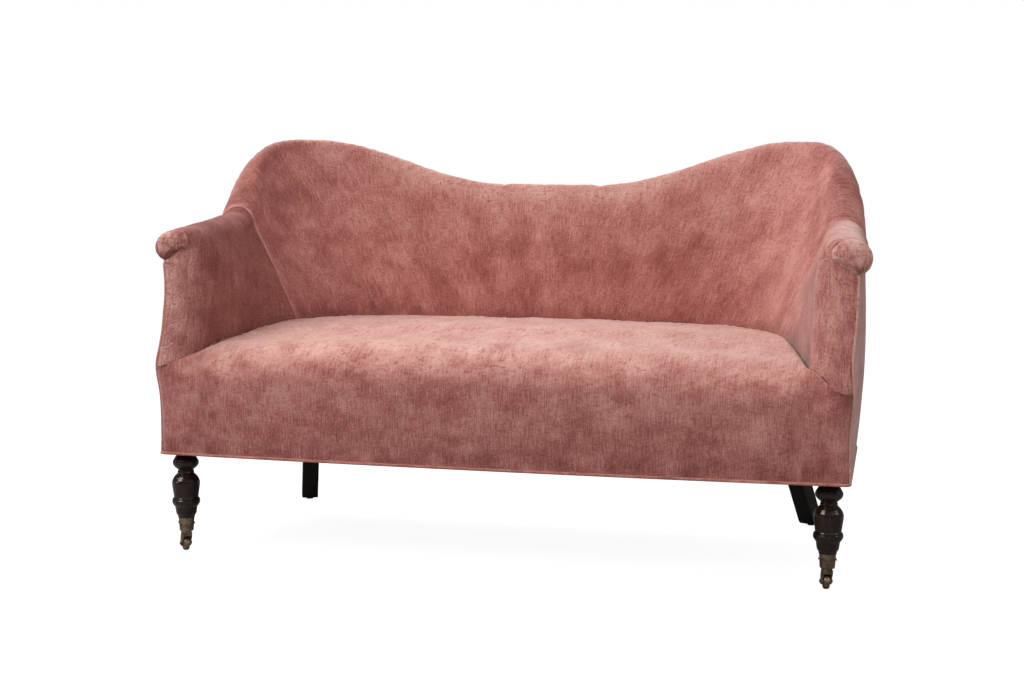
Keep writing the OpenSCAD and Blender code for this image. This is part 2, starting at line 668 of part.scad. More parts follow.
// The inside arm cover is carried past the arm's end round a fold on to its front.
// The fold is wide inside the roll, where the cover is gathered into the roll's end.
fold_angles = [30, 60, 90];
roll_fold = 6;
knob_fold = 26;
arm_rows = [for (f = arm_fs) wall_row(f, arm_caps)];
face_n = len(face_ts);
function fold_in(j) = j < face_n ? [1, 0, 0] : let (g = arm_caps[j - face_n]) [cos(g), 0, -sin(g)];
function fold_size(j) =
    j < face_n - 1 ? fold_r
    : j < face_n ? knob_fold
    : mix(knob_fold, roll_fold, ease((arm_caps[j - face_n] - arm_caps[0]) / 80));
function fold_pt(j, g) = arm_rows[len(arm_rows) - 1][j] + fold_in(j) * fold_size(j) * (1 - cos(g))
                         - [0, fold_r * sin(g), 0];
arm_grid = concat(arm_rows, [for (g = fold_angles) [for (j = [0 : len(arm_rows[0]) - 1]) fold_pt(j, g)]]);
module arm_cover() color(velvet_dark)
    slab(arm_grid, shifted(arm_grid, -cover_t));
module left_arm_cover() mirror([1, 0, 0]) arm_cover();
module right_arm_cover() arm_cover();
module arm_pad() color(hair)
    slab(shifted(arm_rows, -skin), [for (f = arm_fs) frame_row(f, arm_caps)]);
module left_arm_pad() mirror([1, 0, 0]) arm_pad();
module right_arm_pad() arm_pad();

// The seam under the roll's end runs from the fold on its inner side down to the notch outside
roll_z = arm_z - roll_h;
roll_gap = 2.5;
front_face_y = front_y + arm_set;
seam_in = fold_pt(face_n, 90);
seam_out = fold_pt(face_n + len(arm_caps) - 1, 90);

// Front of the arm: it leans back from the seat to the roll
function arm_front_y(z) = front_y + front_lean(z);
function edge_y(z) = front_y + max(corner_r, front_lean(z));
facing_cols = [0, 0.17, 0.34, 0.5, 0.67, 0.84, 1];
facing_rows = [0, 0.2, 0.4, 0.6, 0.8, 1];
facing_x0 = arm_x - arm_t + fold_r + lay_gap;
facing_x1 = arm_x - 12;
facing_gap = 5 * lay_gap;
facing_hollow = 2;
facing_turn = 3;
notch_h = 12;
function fold_at(z) = let (end = arm_rows[len(arm_rows) - 1], a = end[face_n - 2].z, b = end[face_n - 1].z)
    mix(fold_r, knob_fold, held((z - a) / (b - a)));
function inner_x(z) = let (a = inner_at(arm_end, 0).z, b = inner_at(arm_end, 1).z)
    inner_at(arm_end, held((z - a) / (b - a))).x + fold_at(z) + facing_gap;
function facing_top(u) = mix(seam_in.z, seam_out.z, u) - facing_gap - notch_h * ease((u - 0.7) / 0.3);
function facing_foot(x) = seat_height(x, front_y) + 3;
function facing_pt(u, v) =
    let (z = mix(facing_foot(mix(facing_x0, facing_x1, u)), facing_top(u), v),
         x1 = outer_at(1, z).x - welt_d / 2 - lay_gap, x = mix(inner_x(z), x1, u))
    [x, arm_front_y(z) + facing_turn * ease((u - 0.7) / 0.3) - facing_hollow * sin(180 * u), z];
facing_grid = [for (u = facing_cols) [for (v = facing_rows) facing_pt(u, v)]];
module facing() color(velvet)
    slab(facing_grid, shifted(facing_grid, -cover_t));
module left_facing() mirror([1, 0, 0]) facing();
module right_facing() facing();

// Stuffing between the arm post and its facing, down to the corner block
module facing_pad() color(hair) {
    inner = post_x + 1;
    outer = arm_x - 22;
    zs = [rail_top + lay_gap, facing_foot(inner) - 6, facing_foot(inner) + 14, seam_out.z - 14];
    bar([for (z = zs) let (y = front_y + max(8, front_lean(z) + skin + 1))
        [[inner, y, z], [inner, post_y - lay_gap, z], [outer, post_y - lay_gap, z], [outer, y, z]]]);
}
module left_facing_pad() mirror([1, 0, 0]) facing_pad();
module right_facing_pad() facing_pad();

// Pleated end of the roll: a dome inside the fold and above the seam, with gathers
// that run from its middle and fade towards its edge
knob_c = [arm_x - 18, 0, roll_z + 4];
knob_rings = [[0.96, -3], [1, 0], [0.95, 6], [0.82, 11], [0.56, 15], [0.22, 17]];
seam_steps = 5;
gather = 0.06;
knob_edge = concat(
    [for (j = [0 : len(arm_caps) - 1]) fold_pt(face_n + j, 90)],
    [for (i = [1 : seam_steps - 1]) mix(seam_out, seam_in, i / seam_steps)]);
module scroll() color(velvet)
    bar([for (r = knob_rings) [for (k = [0 : len(knob_edge) - 1])
        let (p = knob_edge[k], v = [p.x - knob_c.x, 0, p.z - knob_c.z], edge = v * (1 - roll_gap / norm(v)),
             wave = k % 2 == 0 ? 1 : 1 - gather * sin(180 * r[0]))
        [knob_c.x, front_face_y - r[1] * wave, knob_c.z] + edge * r[0] * wave]]);
module left_scroll() mirror([1, 0, 0]) scroll();
module right_scroll() scroll();

// Outer panels hang from the top line to the bottom piping
outer_ts = [0, 0.25, 0.5, 0.75, 1];
function outer_head(f) = spring_z(f) - cover_t / 2 - sin(under_angle) * cap_h(f) * under_share * armness(f);
function outer_row(f) = let (a = abs(f))
    [for (t = outer_ts) side_f(f, outer_at(a, mix(outer_head(a), box_z + welt_d / 2 + lay_gap, t)))];
outer_back_grid = [for (f = back_fs) outer_row(f)];
module outside_back() color(velvet)
    slab(outer_back_grid, shifted(outer_back_grid, -cover_t));
outer_arm_fs = concat([for (f = arm_fs) if (f < arm_end - 0.01) f], [1]);
outer_front = [for (p = outer_row(1)) [p.x, edge_y(p.z) + welt_d / 2 + lay_gap, p.z]];
outer_arm_grid = [for (f = outer_arm_fs) f == 1 ? outer_front : outer_row(f)];
module outside_arm() color(velvet_dark)
    slab(outer_arm_grid, shifted(outer_arm_grid, -cover_t));
module left_outside_arm() mirror([1, 0, 0]) outside_arm();
module right_outside_arm() outside_arm();

// Piping: rings round a line, each square to it
welt_sides = 6;
function line_dir(p, i) = unit(p[min(len(p) - 1, i + 1)] - p[max(0, i - 1)]);
module piping(p, up) color(velvet)
    bar([for (i = [0 : len(p) - 1])
        let (d = line_dir(p, i), a = unit(cross(d, up)), b = cross(a, d))
        [for (k = [0 : welt_sides - 1])
            p[i] + a * cos(360 * k / welt_sides) * welt_d / 2 + b * sin(360 * k / welt_sides) * welt_d / 2]]);
foot_fs = [for (s = half_shares) s * seam_f];
half_foot = concat(
    [for (f = foot_fs) if (f > 0) let (p = spot(base_line, f)) [p.x, p.y]],
    [[box_x, mix(front_y + corner_r, front_y + box_d - base_corner, 0.4)]],
    [for (g = [0, 45, 90]) [box_x - corner_r * (1 - cos(g)), front_y + corner_r * (1 - sin(g))]]);
last_foot = len(half_foot) - 1;
foot_line = concat(
    [[lay_gap, front_y + box_d, box_z]],
    [for (p = half_foot) [p.x, p.y, box_z]],
    [for (i = [-5 : 5]) [-box_x * i / 6, front_y, sag_z(box_x * i / 6)]],
    [for (i = [last_foot : -1 : 0]) [-half_foot[i].x, half_foot[i].y, box_z]],
    [[-lay_gap, front_y + box_d, box_z]]);
module bottom_welt() piping(foot_line, [0, 0, 1]);
edge_zs = [for (i = [0 : 8]) mix(box_z + welt_d / 2 + lay_gap, outer_head(1) - 6, i / 8)];
module facing_welt()
    piping([for (z = edge_zs) [outer_at(1, z).x, edge_y(z), z]], [0, 1, 0]);
module left_facing_welt() mirror([1, 0, 0]) facing_welt();
module right_facing_welt() facing_welt();

// Black cloth under the seat, cut round the legs
dust_z = web_z - lay_gap - cloth_t;
dust_in = 7;
leg_gap = 1;
dust_half = concat(
    [[0, front_y + box_d - dust_in]],
    [for (f = foot_fs) if (f > 0) spot(base_line, f) - base_dir(f) * dust_in],
    [[box_x - dust_in, front_y + dust_in]]);
module dust_cover() color(cambric)
    difference() {
        translate([0, 0, dust_z])
            linear_extrude(cloth_t)
                polygon(concat(dust_half,
                    [for (i = [len(dust_half) - 1 : -1 : 1]) [-dust_half[i].x, dust_half[i].y]]));
        both_sides() {
            translate([leg_x, front_y + leg_y, 0]) cylinder(d = neck_d + 2 * leg_gap, h = rail_top);
            translate(back_leg_top) rotate([0, 0, -splay])
                cube([back_leg_w + 2 * leg_gap, 2 * (foot_half + 4 * leg_gap), 2 * dust_in], center = true);
        }
    }

// Turned front leg: its outline from the tenon down, in radius and height
cup_top = cup_z + cup_h;
neck_r = neck_d / 2;
ring_r = ring_d / 2;
bulb_r = bulb_d / 2;
spigot_r = cup_d / 2 - 2.4;
leg_outline = concat(
    [[0, rail_z + tenon_h], [tenon_d / 2, rail_z + tenon_h], [tenon_d / 2, rail_z], [neck_r, rail_z]],
    [[neck_r, rail_z - 10], [neck_r + 2, rail_z - 13], [ring_r - 3.6, rail_z - 18]],
    [[ring_r - 1.2, rail_z - 22], [ring_r - 1.2, rail_z - 23], [ring_r, rail_z - 24.5]],
    [[ring_r, rail_z - 29.5], [ring_r - 1.2, rail_z - 31], [ring_r - 1.2, rail_z - 32]],
    [[ring_r - 4.5, rail_z - 36], [neck_r - 1.5, rail_z - 40.5], [neck_r - 2.5, rail_z - 42.5]],
    [[neck_r - 1.2, rail_z - 44], [neck_r - 0.8, rail_z - 46], [neck_r - 1.6, rail_z - 48]],
    [[neck_r + 1, rail_z - 50.5], [bulb_r - 5.5, rail_z - 54.5], [bulb_r - 4, rail_z - 57]],
    [[bulb_r - 3.4, rail_z - 57.4], [bulb_r - 1.4, rail_z - 61.5], [bulb_r - 1, rail_z - 63.8]],
    [[bulb_r - 0.4, rail_z - 64.2], [bulb_r, rail_z - 68], [bulb_r - 0.4, rail_z - 74]],
    [[bulb_r - 3.6, cup_top + 42], [bulb_r - 3, cup_top + 40.5], [bulb_r - 1.2, cup_top + 39]],
    [[bulb_r - 1.2, cup_top + 38], [bulb_r - 0.2, cup_top + 36.5], [bulb_r, cup_top + 32]],
    [[bulb_r - 0.8, cup_top + 29], [bulb_r - 2.2, cup_top + 27.4], [bulb_r - 2.4, cup_top + 26.4]],
    [[bulb_r - 5.6, cup_top + 22.5], [bulb_r - 5.8, cup_top + 21.5], [bulb_r - 7.6, cup_top + 9]],
    [[bulb_r - 8.4, cup_top + 7.5], [cup_d / 2 + 1, cup_top + 3], [cup_d / 2 + 0.6, cup_top + lay_gap]],
    [[spigot_r, cup_top + lay_gap], [spigot_r - 1.2, cup_z + 4.2], [0, cup_z + 4.2]]);
pin_top = cup_top + 12;
module front_leg() color(walnut)
    translate([leg_x, front_y + leg_y, 0])
        difference() {
            rotate_extrude() polygon(leg_outline);
            translate([0, 0, cup_z]) cylinder(d = pin_d + 2 * run_gap, h = pin_top + 1 - cup_z);
            screw_pair(screw_gap);
        }
module left_front_leg() mirror([1, 0, 0]) front_leg();
module right_front_leg() front_leg();

// Brass cup on the foot of the leg, with a thin lip
module castor_cup() color(brass)
    translate([leg_x, front_y + leg_y, 0])
        difference() {
            rotate_extrude()
                polygon([[0, cup_z], [cup_d / 2 - 3.4, cup_z], [cup_d / 2 - 2.2, cup_z + 1.2],
                         [cup_d / 2 - 1.8, cup_z + 3], [cup_d / 2 - 0.3, cup_top - 1.6],
                         [cup_d / 2 + 0.3, cup_top - 1.2], [cup_d / 2 + 0.3, cup_top],
                         [spigot_r + 0.1, cup_top], [spigot_r - 1.1, cup_z + 4], [0, cup_z + 4]]);
            translate([0, 0, cup_z - 1]) cylinder(d = pin_d + 2 * run_gap, h = 8);
            screw_pair(screw_gap);
        }
module left_castor_cup() mirror([1, 0, 0]) castor_cup();
module right_castor_cup() castor_cup();

// Two round-headed screws through each cup
screw_d = 3;
screw_l = 10;
screw_gap = 0.05;
screw_z = cup_z + 17;
module screw_pair(grow = 0)
    for (s = [-1, 1])
        translate([s * (cup_d / 2 - 0.6 - screw_l - 2 * grow), 0, screw_z])
            rotate([0, s * 90, 0]) cylinder(d = screw_d + 2 * grow, h = screw_l + 1.2 + 2 * grow);
module cup_screws() color(brass)
    both_sides()
        translate([leg_x, front_y + leg_y, 0]) {
            screw_pair();
            for (s = [-1, 1])
                translate([s * cup_d / 2, 0, screw_z]) rotate([0, s * 90, 0]) cylinder(d = 5.6, h = 1);
        }

// Castor: a forked horn that turns on its pin, an axle and a wheel behind the pin
left_swivel = 37;
right_swivel = 13;
horn_top = cup_z - lay_gap;
fork_gap = 0.6;
cheek_t = 3;
boss_r = 4.6;
boss_out = 1.2;
axle_head = 1.2;
fork_w = wheel_w + 2 * fork_gap + 2 * cheek_t;
axle_z = wheel_d / 2;
horn_root = axle_z + wheel_d / 2 + 1.4;
module castor_place(side, angle)
    translate([side * leg_x, front_y + leg_y, 0]) rotate([0, 0, angle]) children();
module horn() color(brass)
    difference() {
        union() {
            cylinder(d = pin_d, h = pin_top);
            translate([0, 0, horn_top - 3.6]) cylinder(d = fork_w, h = 3.6);
            translate([-fork_w / 2, 0, 0]) rotate([90, 0, 90])
                linear_extrude(fork_w) {
                    polygon([[-fork_w / 2 + 1, horn_top - 3], [fork_w / 2, horn_top - 3],
                             [trail + 7.4, axle_z + 8], [trail + 6.5, axle_z], [trail - 6.5, axle_z],
                             [trail - 8, axle_z + 5], [-fork_w / 2 + 2.5, horn_root - 1]]);
                    translate([trail, axle_z]) circle(r = 6.5);
                }
            translate([0, trail, axle_z]) rotate([0, 90, 0])
                cylinder(r = boss_r, h = fork_w + 2 * boss_out, center = true);
        }
        translate([-wheel_w / 2 - fork_gap, -fork_w, -1])
            cube([wheel_w + 2 * fork_gap, 3 * fork_w, horn_root + 1]);
        translate([0, trail, axle_z]) rotate([0, 90, 0])
            cylinder(d = axle_d + 2 * run_gap, h = fork_w + 20, center = true);
        translate([0, 0, -1]) cylinder(d = pin_d + 4, h = horn_root);
    }
module left_castor_horn() castor_place(-1, left_swivel) horn();
module right_castor_horn() castor_place(1, right_swivel) horn();
module axle() color(steel)
    translate([0, trail, axle_z]) rotate([0, 90, 0]) {
        for (s = [-1, 1])
            translate([0, 0, s * (fork_w / 2 + boss_out + axle_head / 2 + lay_gap)])
                cylinder(d = axle_d + 2 * boss_out, h = axle_head, center = true);
        cylinder(d = axle_d, h = fork_w + 2 * boss_out + 4 * lay_gap, center = true);
    }
module left_castor_axle() castor_place(-1, left_swivel) axle();
module right_castor_axle() castor_place(1, right_swivel) axle();
hub_r = 5;
web_in = 1.6;
module wheel() color(brass)
    translate([0, trail, axle_z]) rotate([0, 90, 0])
        rotate_extrude() {
            r = wheel_d / 2;
            h = wheel_w / 2;
            half = [[axle_d / 2 + run_gap, h], [hub_r, h], [hub_r + 0.6, h - web_in], [r - 4.5, h - web_in],
                    [r - 3.6, h - 0.6], [r - 1.6, h - 0.8], [r - 0.5, h - 2], [r, h - 4]];
            polygon(concat([for (p = half) [p.x, -p.y]], [for (i = [len(half) - 1 : -1 : 0]) half[i]]));
        }
module left_castor_wheel() castor_place(-1, left_swivel) wheel();
module right_castor_wheel() castor_place(1, right_swivel) wheel();

// Square back leg, raked backwards and outwards and cut flat over its glide
foot_cut = 5;
glide_d = 16;
nail_d = 4;
nail_l = 16;
function sweep_at(z) = sweep * (1 - z / rail_z);
module back_foot_place() translate([back_leg_top.x, back_leg_top.y, 0]) rotate([0, 0, -splay])
    translate([0, sweep_at(glide_h), 0]) children();
module back_leg() color(walnut) {
    difference() {
        translate([back_leg_top.x, back_leg_top.y, 0]) rotate([0, 0, -splay])
            translate([-back_leg_w / 2, 0, 0]) rotate([90, 0, 90])
                linear_extrude(back_leg_w)
                    polygon([[-foot_half, rail_z],
                             [sweep_at(glide_h + foot_cut) - foot_half, glide_h + foot_cut],
                             [sweep_at(glide_h) - foot_half + foot_cut, glide_h],
                             [sweep_at(glide_h) + foot_half, glide_h], [foot_half, rail_z]]);
        back_foot_place() translate([0, 0, glide_h - 1]) cylinder(d = nail_d + 2 * run_gap, h = nail_l + 2);
    }
    translate(back_leg_top - [0, 0, 2]) cylinder(d = tenon_d, h = tenon_h + 2);
}
module foot_glides() color(steel)
    both_sides() back_foot_place() {
        cylinder(d = glide_d, h = glide_h);
        cylinder(d = nail_d, h = glide_h + nail_l);
    }
module left_back_leg() mirror([1, 0, 0]) back_leg();
module right_back_leg() back_leg();

front_rail();
back_rail();
left_side_rail();
right_side_rail();
cross_rails();
front_blocks();
back_blocks();
left_arm_post();
right_arm_post();
left_arm_rail();
right_arm_rail();
left_arm_tack_rail();
right_arm_tack_rail();
back_posts();
back_uprights();
back_top_rail();
back_tack_rail();
seat_webbing();
seat_springs();
seat_hessian();
seat_pad();
seat_cover();
back_webbing();
back_pad();
back_cover();
left_arm_pad();
right_arm_pad();
left_arm_cover();
right_arm_cover();
left_facing();
right_facing();
left_scroll();
right_scroll();
left_outside_arm();
right_outside_arm();
outside_back();
bottom_welt();
left_facing_welt();
right_facing_welt();
dust_cover();
left_front_leg();
right_front_leg();
left_back_leg();
right_back_leg();
left_castor_cup();
right_castor_cup();
cup_screws();
left_castor_horn();
right_castor_horn();
left_castor_axle();
right_castor_axle();
left_castor_wheel();
right_castor_wheel();
left_facing_pad();
right_facing_pad();
frame_dowels();
foot_glides();
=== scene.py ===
"""Two-seat sofa in crushed velvet, on turned front legs with brass castors.

The covers follow three plan lines that run from the middle of the back round its corner to the front of an arm:
the seat box's line, the line under the top edge, and the line of the seat. A wall surface is a function of a share
along those lines and of a height, so the inside and outside covers, the stuffing and the piping all come from the
same formulas. Lengths are in metres, with X to the right, Y to the back and Z up.
"""
import json
import logging
from collections.abc import Iterable
from dataclasses import dataclass, field
from enum import Enum

import bpy
import numpy as np
from mathutils import Matrix, Vector

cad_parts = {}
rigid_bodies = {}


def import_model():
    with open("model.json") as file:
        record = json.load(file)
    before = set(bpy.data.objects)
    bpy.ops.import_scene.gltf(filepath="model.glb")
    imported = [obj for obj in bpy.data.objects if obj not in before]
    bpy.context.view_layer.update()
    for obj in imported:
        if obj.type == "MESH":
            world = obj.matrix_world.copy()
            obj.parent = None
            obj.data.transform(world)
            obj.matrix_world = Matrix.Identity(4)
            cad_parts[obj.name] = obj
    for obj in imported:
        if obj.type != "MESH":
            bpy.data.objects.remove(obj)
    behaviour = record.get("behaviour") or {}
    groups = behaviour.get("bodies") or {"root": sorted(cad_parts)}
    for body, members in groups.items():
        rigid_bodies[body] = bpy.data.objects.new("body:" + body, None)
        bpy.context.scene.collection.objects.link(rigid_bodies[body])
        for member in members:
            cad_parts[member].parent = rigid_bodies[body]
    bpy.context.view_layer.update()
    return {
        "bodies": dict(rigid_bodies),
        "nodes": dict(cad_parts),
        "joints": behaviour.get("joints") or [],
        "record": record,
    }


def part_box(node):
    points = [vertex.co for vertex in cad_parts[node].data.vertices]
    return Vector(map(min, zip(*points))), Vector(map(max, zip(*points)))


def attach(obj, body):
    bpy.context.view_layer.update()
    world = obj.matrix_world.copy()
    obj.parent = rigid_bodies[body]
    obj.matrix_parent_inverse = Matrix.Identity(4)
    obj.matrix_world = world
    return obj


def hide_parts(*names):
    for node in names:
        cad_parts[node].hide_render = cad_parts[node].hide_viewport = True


LOG = logging.getLogger("sofa")
MM = 0.001
SHARP_ANGLE = 55.0
RIPPLE_HEIGHT = 0.8
Values = float | np.ndarray
# Half the width of the pale line beside a seam: rubbed pile, with a painted highlight where the seam's ridge catches
# the light.
PALE_SEAM_LINE = 0.0016
# Bulges of the arms' front edges, right and left: millimetres out, height and half height of each bell curve.
EDGE_BULGES = (((5, 0.500, 0.070),), ((7, 0.385, 0.040), (3, 0.300, 0.060), (-4, 0.530, 0.045)))


class Side(Enum):
    """The two sides of the sofa, as the sign of X."""

    LEFT = -1
    RIGHT = 1

    @property
    def word(self) -> str:
        """Returns the side's name as the frame's nodes have it."""
        return self.name.lower()


def mix(a: Values, b: Values, t: Values) -> Values:
    """Returns the point between a and b at share t."""
    return a + (b - a) * t


def held(t: Values) -> Values:
    """Returns t held between 0 and 1."""
    return np.clip(t, 0.0, 1.0)


def ease(t: Values) -> Values:
    """Returns a smooth step: half a cosine wave from 0 to 1."""
    return (1 - np.cos(np.pi * held(t))) / 2


def bell(t: Values) -> Values:
    """Returns a bell curve that is 1 at 0: e to the power of minus t squared."""
    return np.exp(-(t**2))


def rising(t: Values, start: float, run: float) -> Values:
    """Returns a smooth step from 0 at the start to 1 a run further on."""
    return ease((t - start) / run)


def plan_point(x: Values, y: Values, z: Values) -> np.ndarray:
    """Returns points from their three coordinates, which may be arrays of the same shape."""
    return np.stack(np.broadcast_arrays(x, y, z), axis=-1)


@dataclass(frozen=True)
class SofaSizes:
    """Sizes of the covers, which fit the frame's. The two without a value are measured on the frame.

    drop_right and drop_left say how much further out the seat's corner starts to drop, and over what share of its
    width. lobe_back is how far the lobe in front of an arm stands forward, at its inner and at its outer end. pad_cap
    is how much deeper the stuffing lies under the rounded top, on the back and on the arms.
    """

    box_x: float
    front_y: float
    box_d: float = 0.525
    box_z: float = 0.206
    front_swell: float = 0.012
    corner_swell: float = 0.004
    base_corner: float = 0.095
    base_corner_more: float = 0.025
    corner_r: float = 0.010
    corner_turn: float = 1.8
    corner_gap: float = 0.0020
    arm_foot: float = 0.070
    arm_flare: float = 0.007
    seat_close: float = 0.111
    back_set: float = 0.045
    seat_round_x: float = 0.196
    seat_round_y: float = 0.257
    seat_z: float = 0.412
    seat_rise: float = 0.033
    rise_run: float = 0.400
    seat_crown: float = 0.016
    crown_front: float = 0.45
    corner_drop: float = 0.041
    drop_right: tuple = (-0.008, 0.90)
    drop_straight: float = 0.6
    drop_left: tuple = (-0.022, 1.55)
    edge_d: float = 0.110
    edge_h: float = 0.074
    edge_most: float = 0.8
    lobe_h: float = 0.034
    lobe_back: tuple = (0.002, 0.005)
    seat_tuck: float = 0.026
    seat_ease: float = 0.004
    seat_line_end: float = 0.985
    lobe_ease: float = 0.0012
    dip_z: float = 0.740
    hump_z: float = 0.835
    hump_in: float = 0.128
    hump_flat: float = 0.032
    fall_run: float = 0.226
    fall_curve: float = 2.4
    dip_run: float = 0.100
    back_over: float = 0.100
    back_lean: float = 0.221
    back_t: float = 0.044
    back_high: float = 0.002
    back_flat: float = 0.100
    corner_y: float = 0.325
    arm_z: float = 0.652
    arm_rise: float = 0.026
    arm_curve: float = 1.1
    arm_late: float = 0.060
    arm_t: float = 0.080
    arm_set: float = 0.045
    lean_low: float = 0.030
    roll_over: float = 0.023
    over_back: float = 0.25
    over_curve: float = 1.2
    roll_h: float = 0.044
    corner_out: float = 0.007
    corner_high: float = 0.050
    belly: float = 0.011
    belly_reach: float = 0.14
    edge_run: float = 0.06
    waist: float = 0.008
    back_puff: float = 0.015
    arm_puff: float = 0.005
    front_flatter: float = 0.008
    flat_run: float = 0.1
    under_share: float = 0.84
    under_angle: float = 52.0
    least_turn: float = 6.0
    chord: float = 0.02
    join_rounds: int = 14
    join_reach: float = 0.12
    fold_r: float = 0.040
    fold_turn: float = 60.0
    face_fold: float = 0.028
    roll_fold: float = 0.005
    knob_fold: float = 0.028
    welt_d: float = 0.006
    welt_sag: float = 0.003
    cover_t: float = 0.003
    lay_gap: float = 0.0003
    pad_t: float = 0.040
    pad_under: float = 0.0015
    pad_cap: tuple = (0.004, 0.010)
    post_depth: float = 0.056
    wood_in: float = 0.034
    strap_gap: float = 0.0034
    web_t: float = 0.0015
    seam_share: float = 0.965
    seat_seam: float = 0.6
    base_seam: float = 0.69

    @classmethod
    def from_frame(cls) -> "SofaSizes":
        """Returns the sizes, with the seat box measured on the frame's rails.

        Returns:
            The sofa's sizes. The rails lie one cover and one gap inside the seat box.
        """
        skin = cls.cover_t + cls.lay_gap
        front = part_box("front_rail")
        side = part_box("right_side_rail")
        return cls(box_x=side[1][0] + skin, front_y=front[0][1] - skin)

    @property
    def skin(self) -> float:
        """Returns how deep the stuffing lies under the outside of a cover."""
        return self.cover_t + self.lay_gap

    @property
    def over_welt(self) -> float:
        """Returns how far a cover's foot lies above the middle of the bottom piping."""
        return self.welt_d / 2 + self.lay_gap

    @property
    def arm_x(self) -> float:
        """Returns the outside of an arm below its roll."""
        return self.box_x + self.arm_flare

    @property
    def seat_x(self) -> float:
        """Returns half the seat's width at its front."""
        return self.box_x - self.arm_foot

    @property
    def roll_z(self) -> float:
        """Returns the height of the roll's widest line at the front."""
        return self.arm_z - self.roll_h

    @property
    def face_y(self) -> float:
        """Returns the front of the arm at the height of its roll."""
        return self.front_y + self.arm_set


class PlanLine:
    """Half of a line in plan, from the middle of the back round a parabola corner to the front of an arm."""

    STEPS = 160

    def __init__(self, front: tuple, cross: tuple, along: float, back: float) -> None:
        """Works the line out: straight, then (1-t)^2 start + 2t(1-t) crossing + t^2 end, then straight.

        Args:
            front: The line's front end.
            cross: Where the straight stretches would cross without the rounding.
            along: How far the rounding reaches from the crossing along the arm.
            back: How far it reaches from the crossing along the back.
        """
        front, cross = np.array(front), np.array(cross)
        start = cross - [back, 0]
        end = cross + (front - cross) / np.linalg.norm(front - cross) * along
        t = np.linspace(0, 1, self.STEPS)[:, None]
        curve = start * (1 - t) ** 2 + cross * 2 * t * (1 - t) + end * t**2
        self.points = np.vstack([[0, cross[1]], curve, front])
        self.run = np.concatenate([[0], np.cumsum(np.linalg.norm(np.diff(self.points, axis=0), axis=1))])

    @property
    def length(self) -> float:
        """Returns the length of the half line."""
        return float(self.run[-1])

    def at(self, share: np.ndarray) -> np.ndarray:
        """Returns the plan points at shares of the length, by straight interpolation."""
        s = held(share) * self.length
        return np.stack([np.interp(s, self.run, self.points[:, k]) for k in (0, 1)], axis=-1)

    def outward(self, share: np.ndarray, reach: float) -> np.ndarray:
        """Returns the outward directions: the chord between share - reach and share + reach, turned by 90 degrees.

        Args:
            share: Shares of the length.
            reach: How far the chord reaches each way.

        Returns:
            Unit directions, level, one per share.
        """
        chord = self.at(np.minimum(1, share + reach)) - self.at(np.maximum(0, share - reach))
        chord /= np.linalg.norm(chord, axis=-1, keepdims=True)
        return plan_point(-chord[..., 1], chord[..., 0], np.zeros_like(chord[..., 0]))


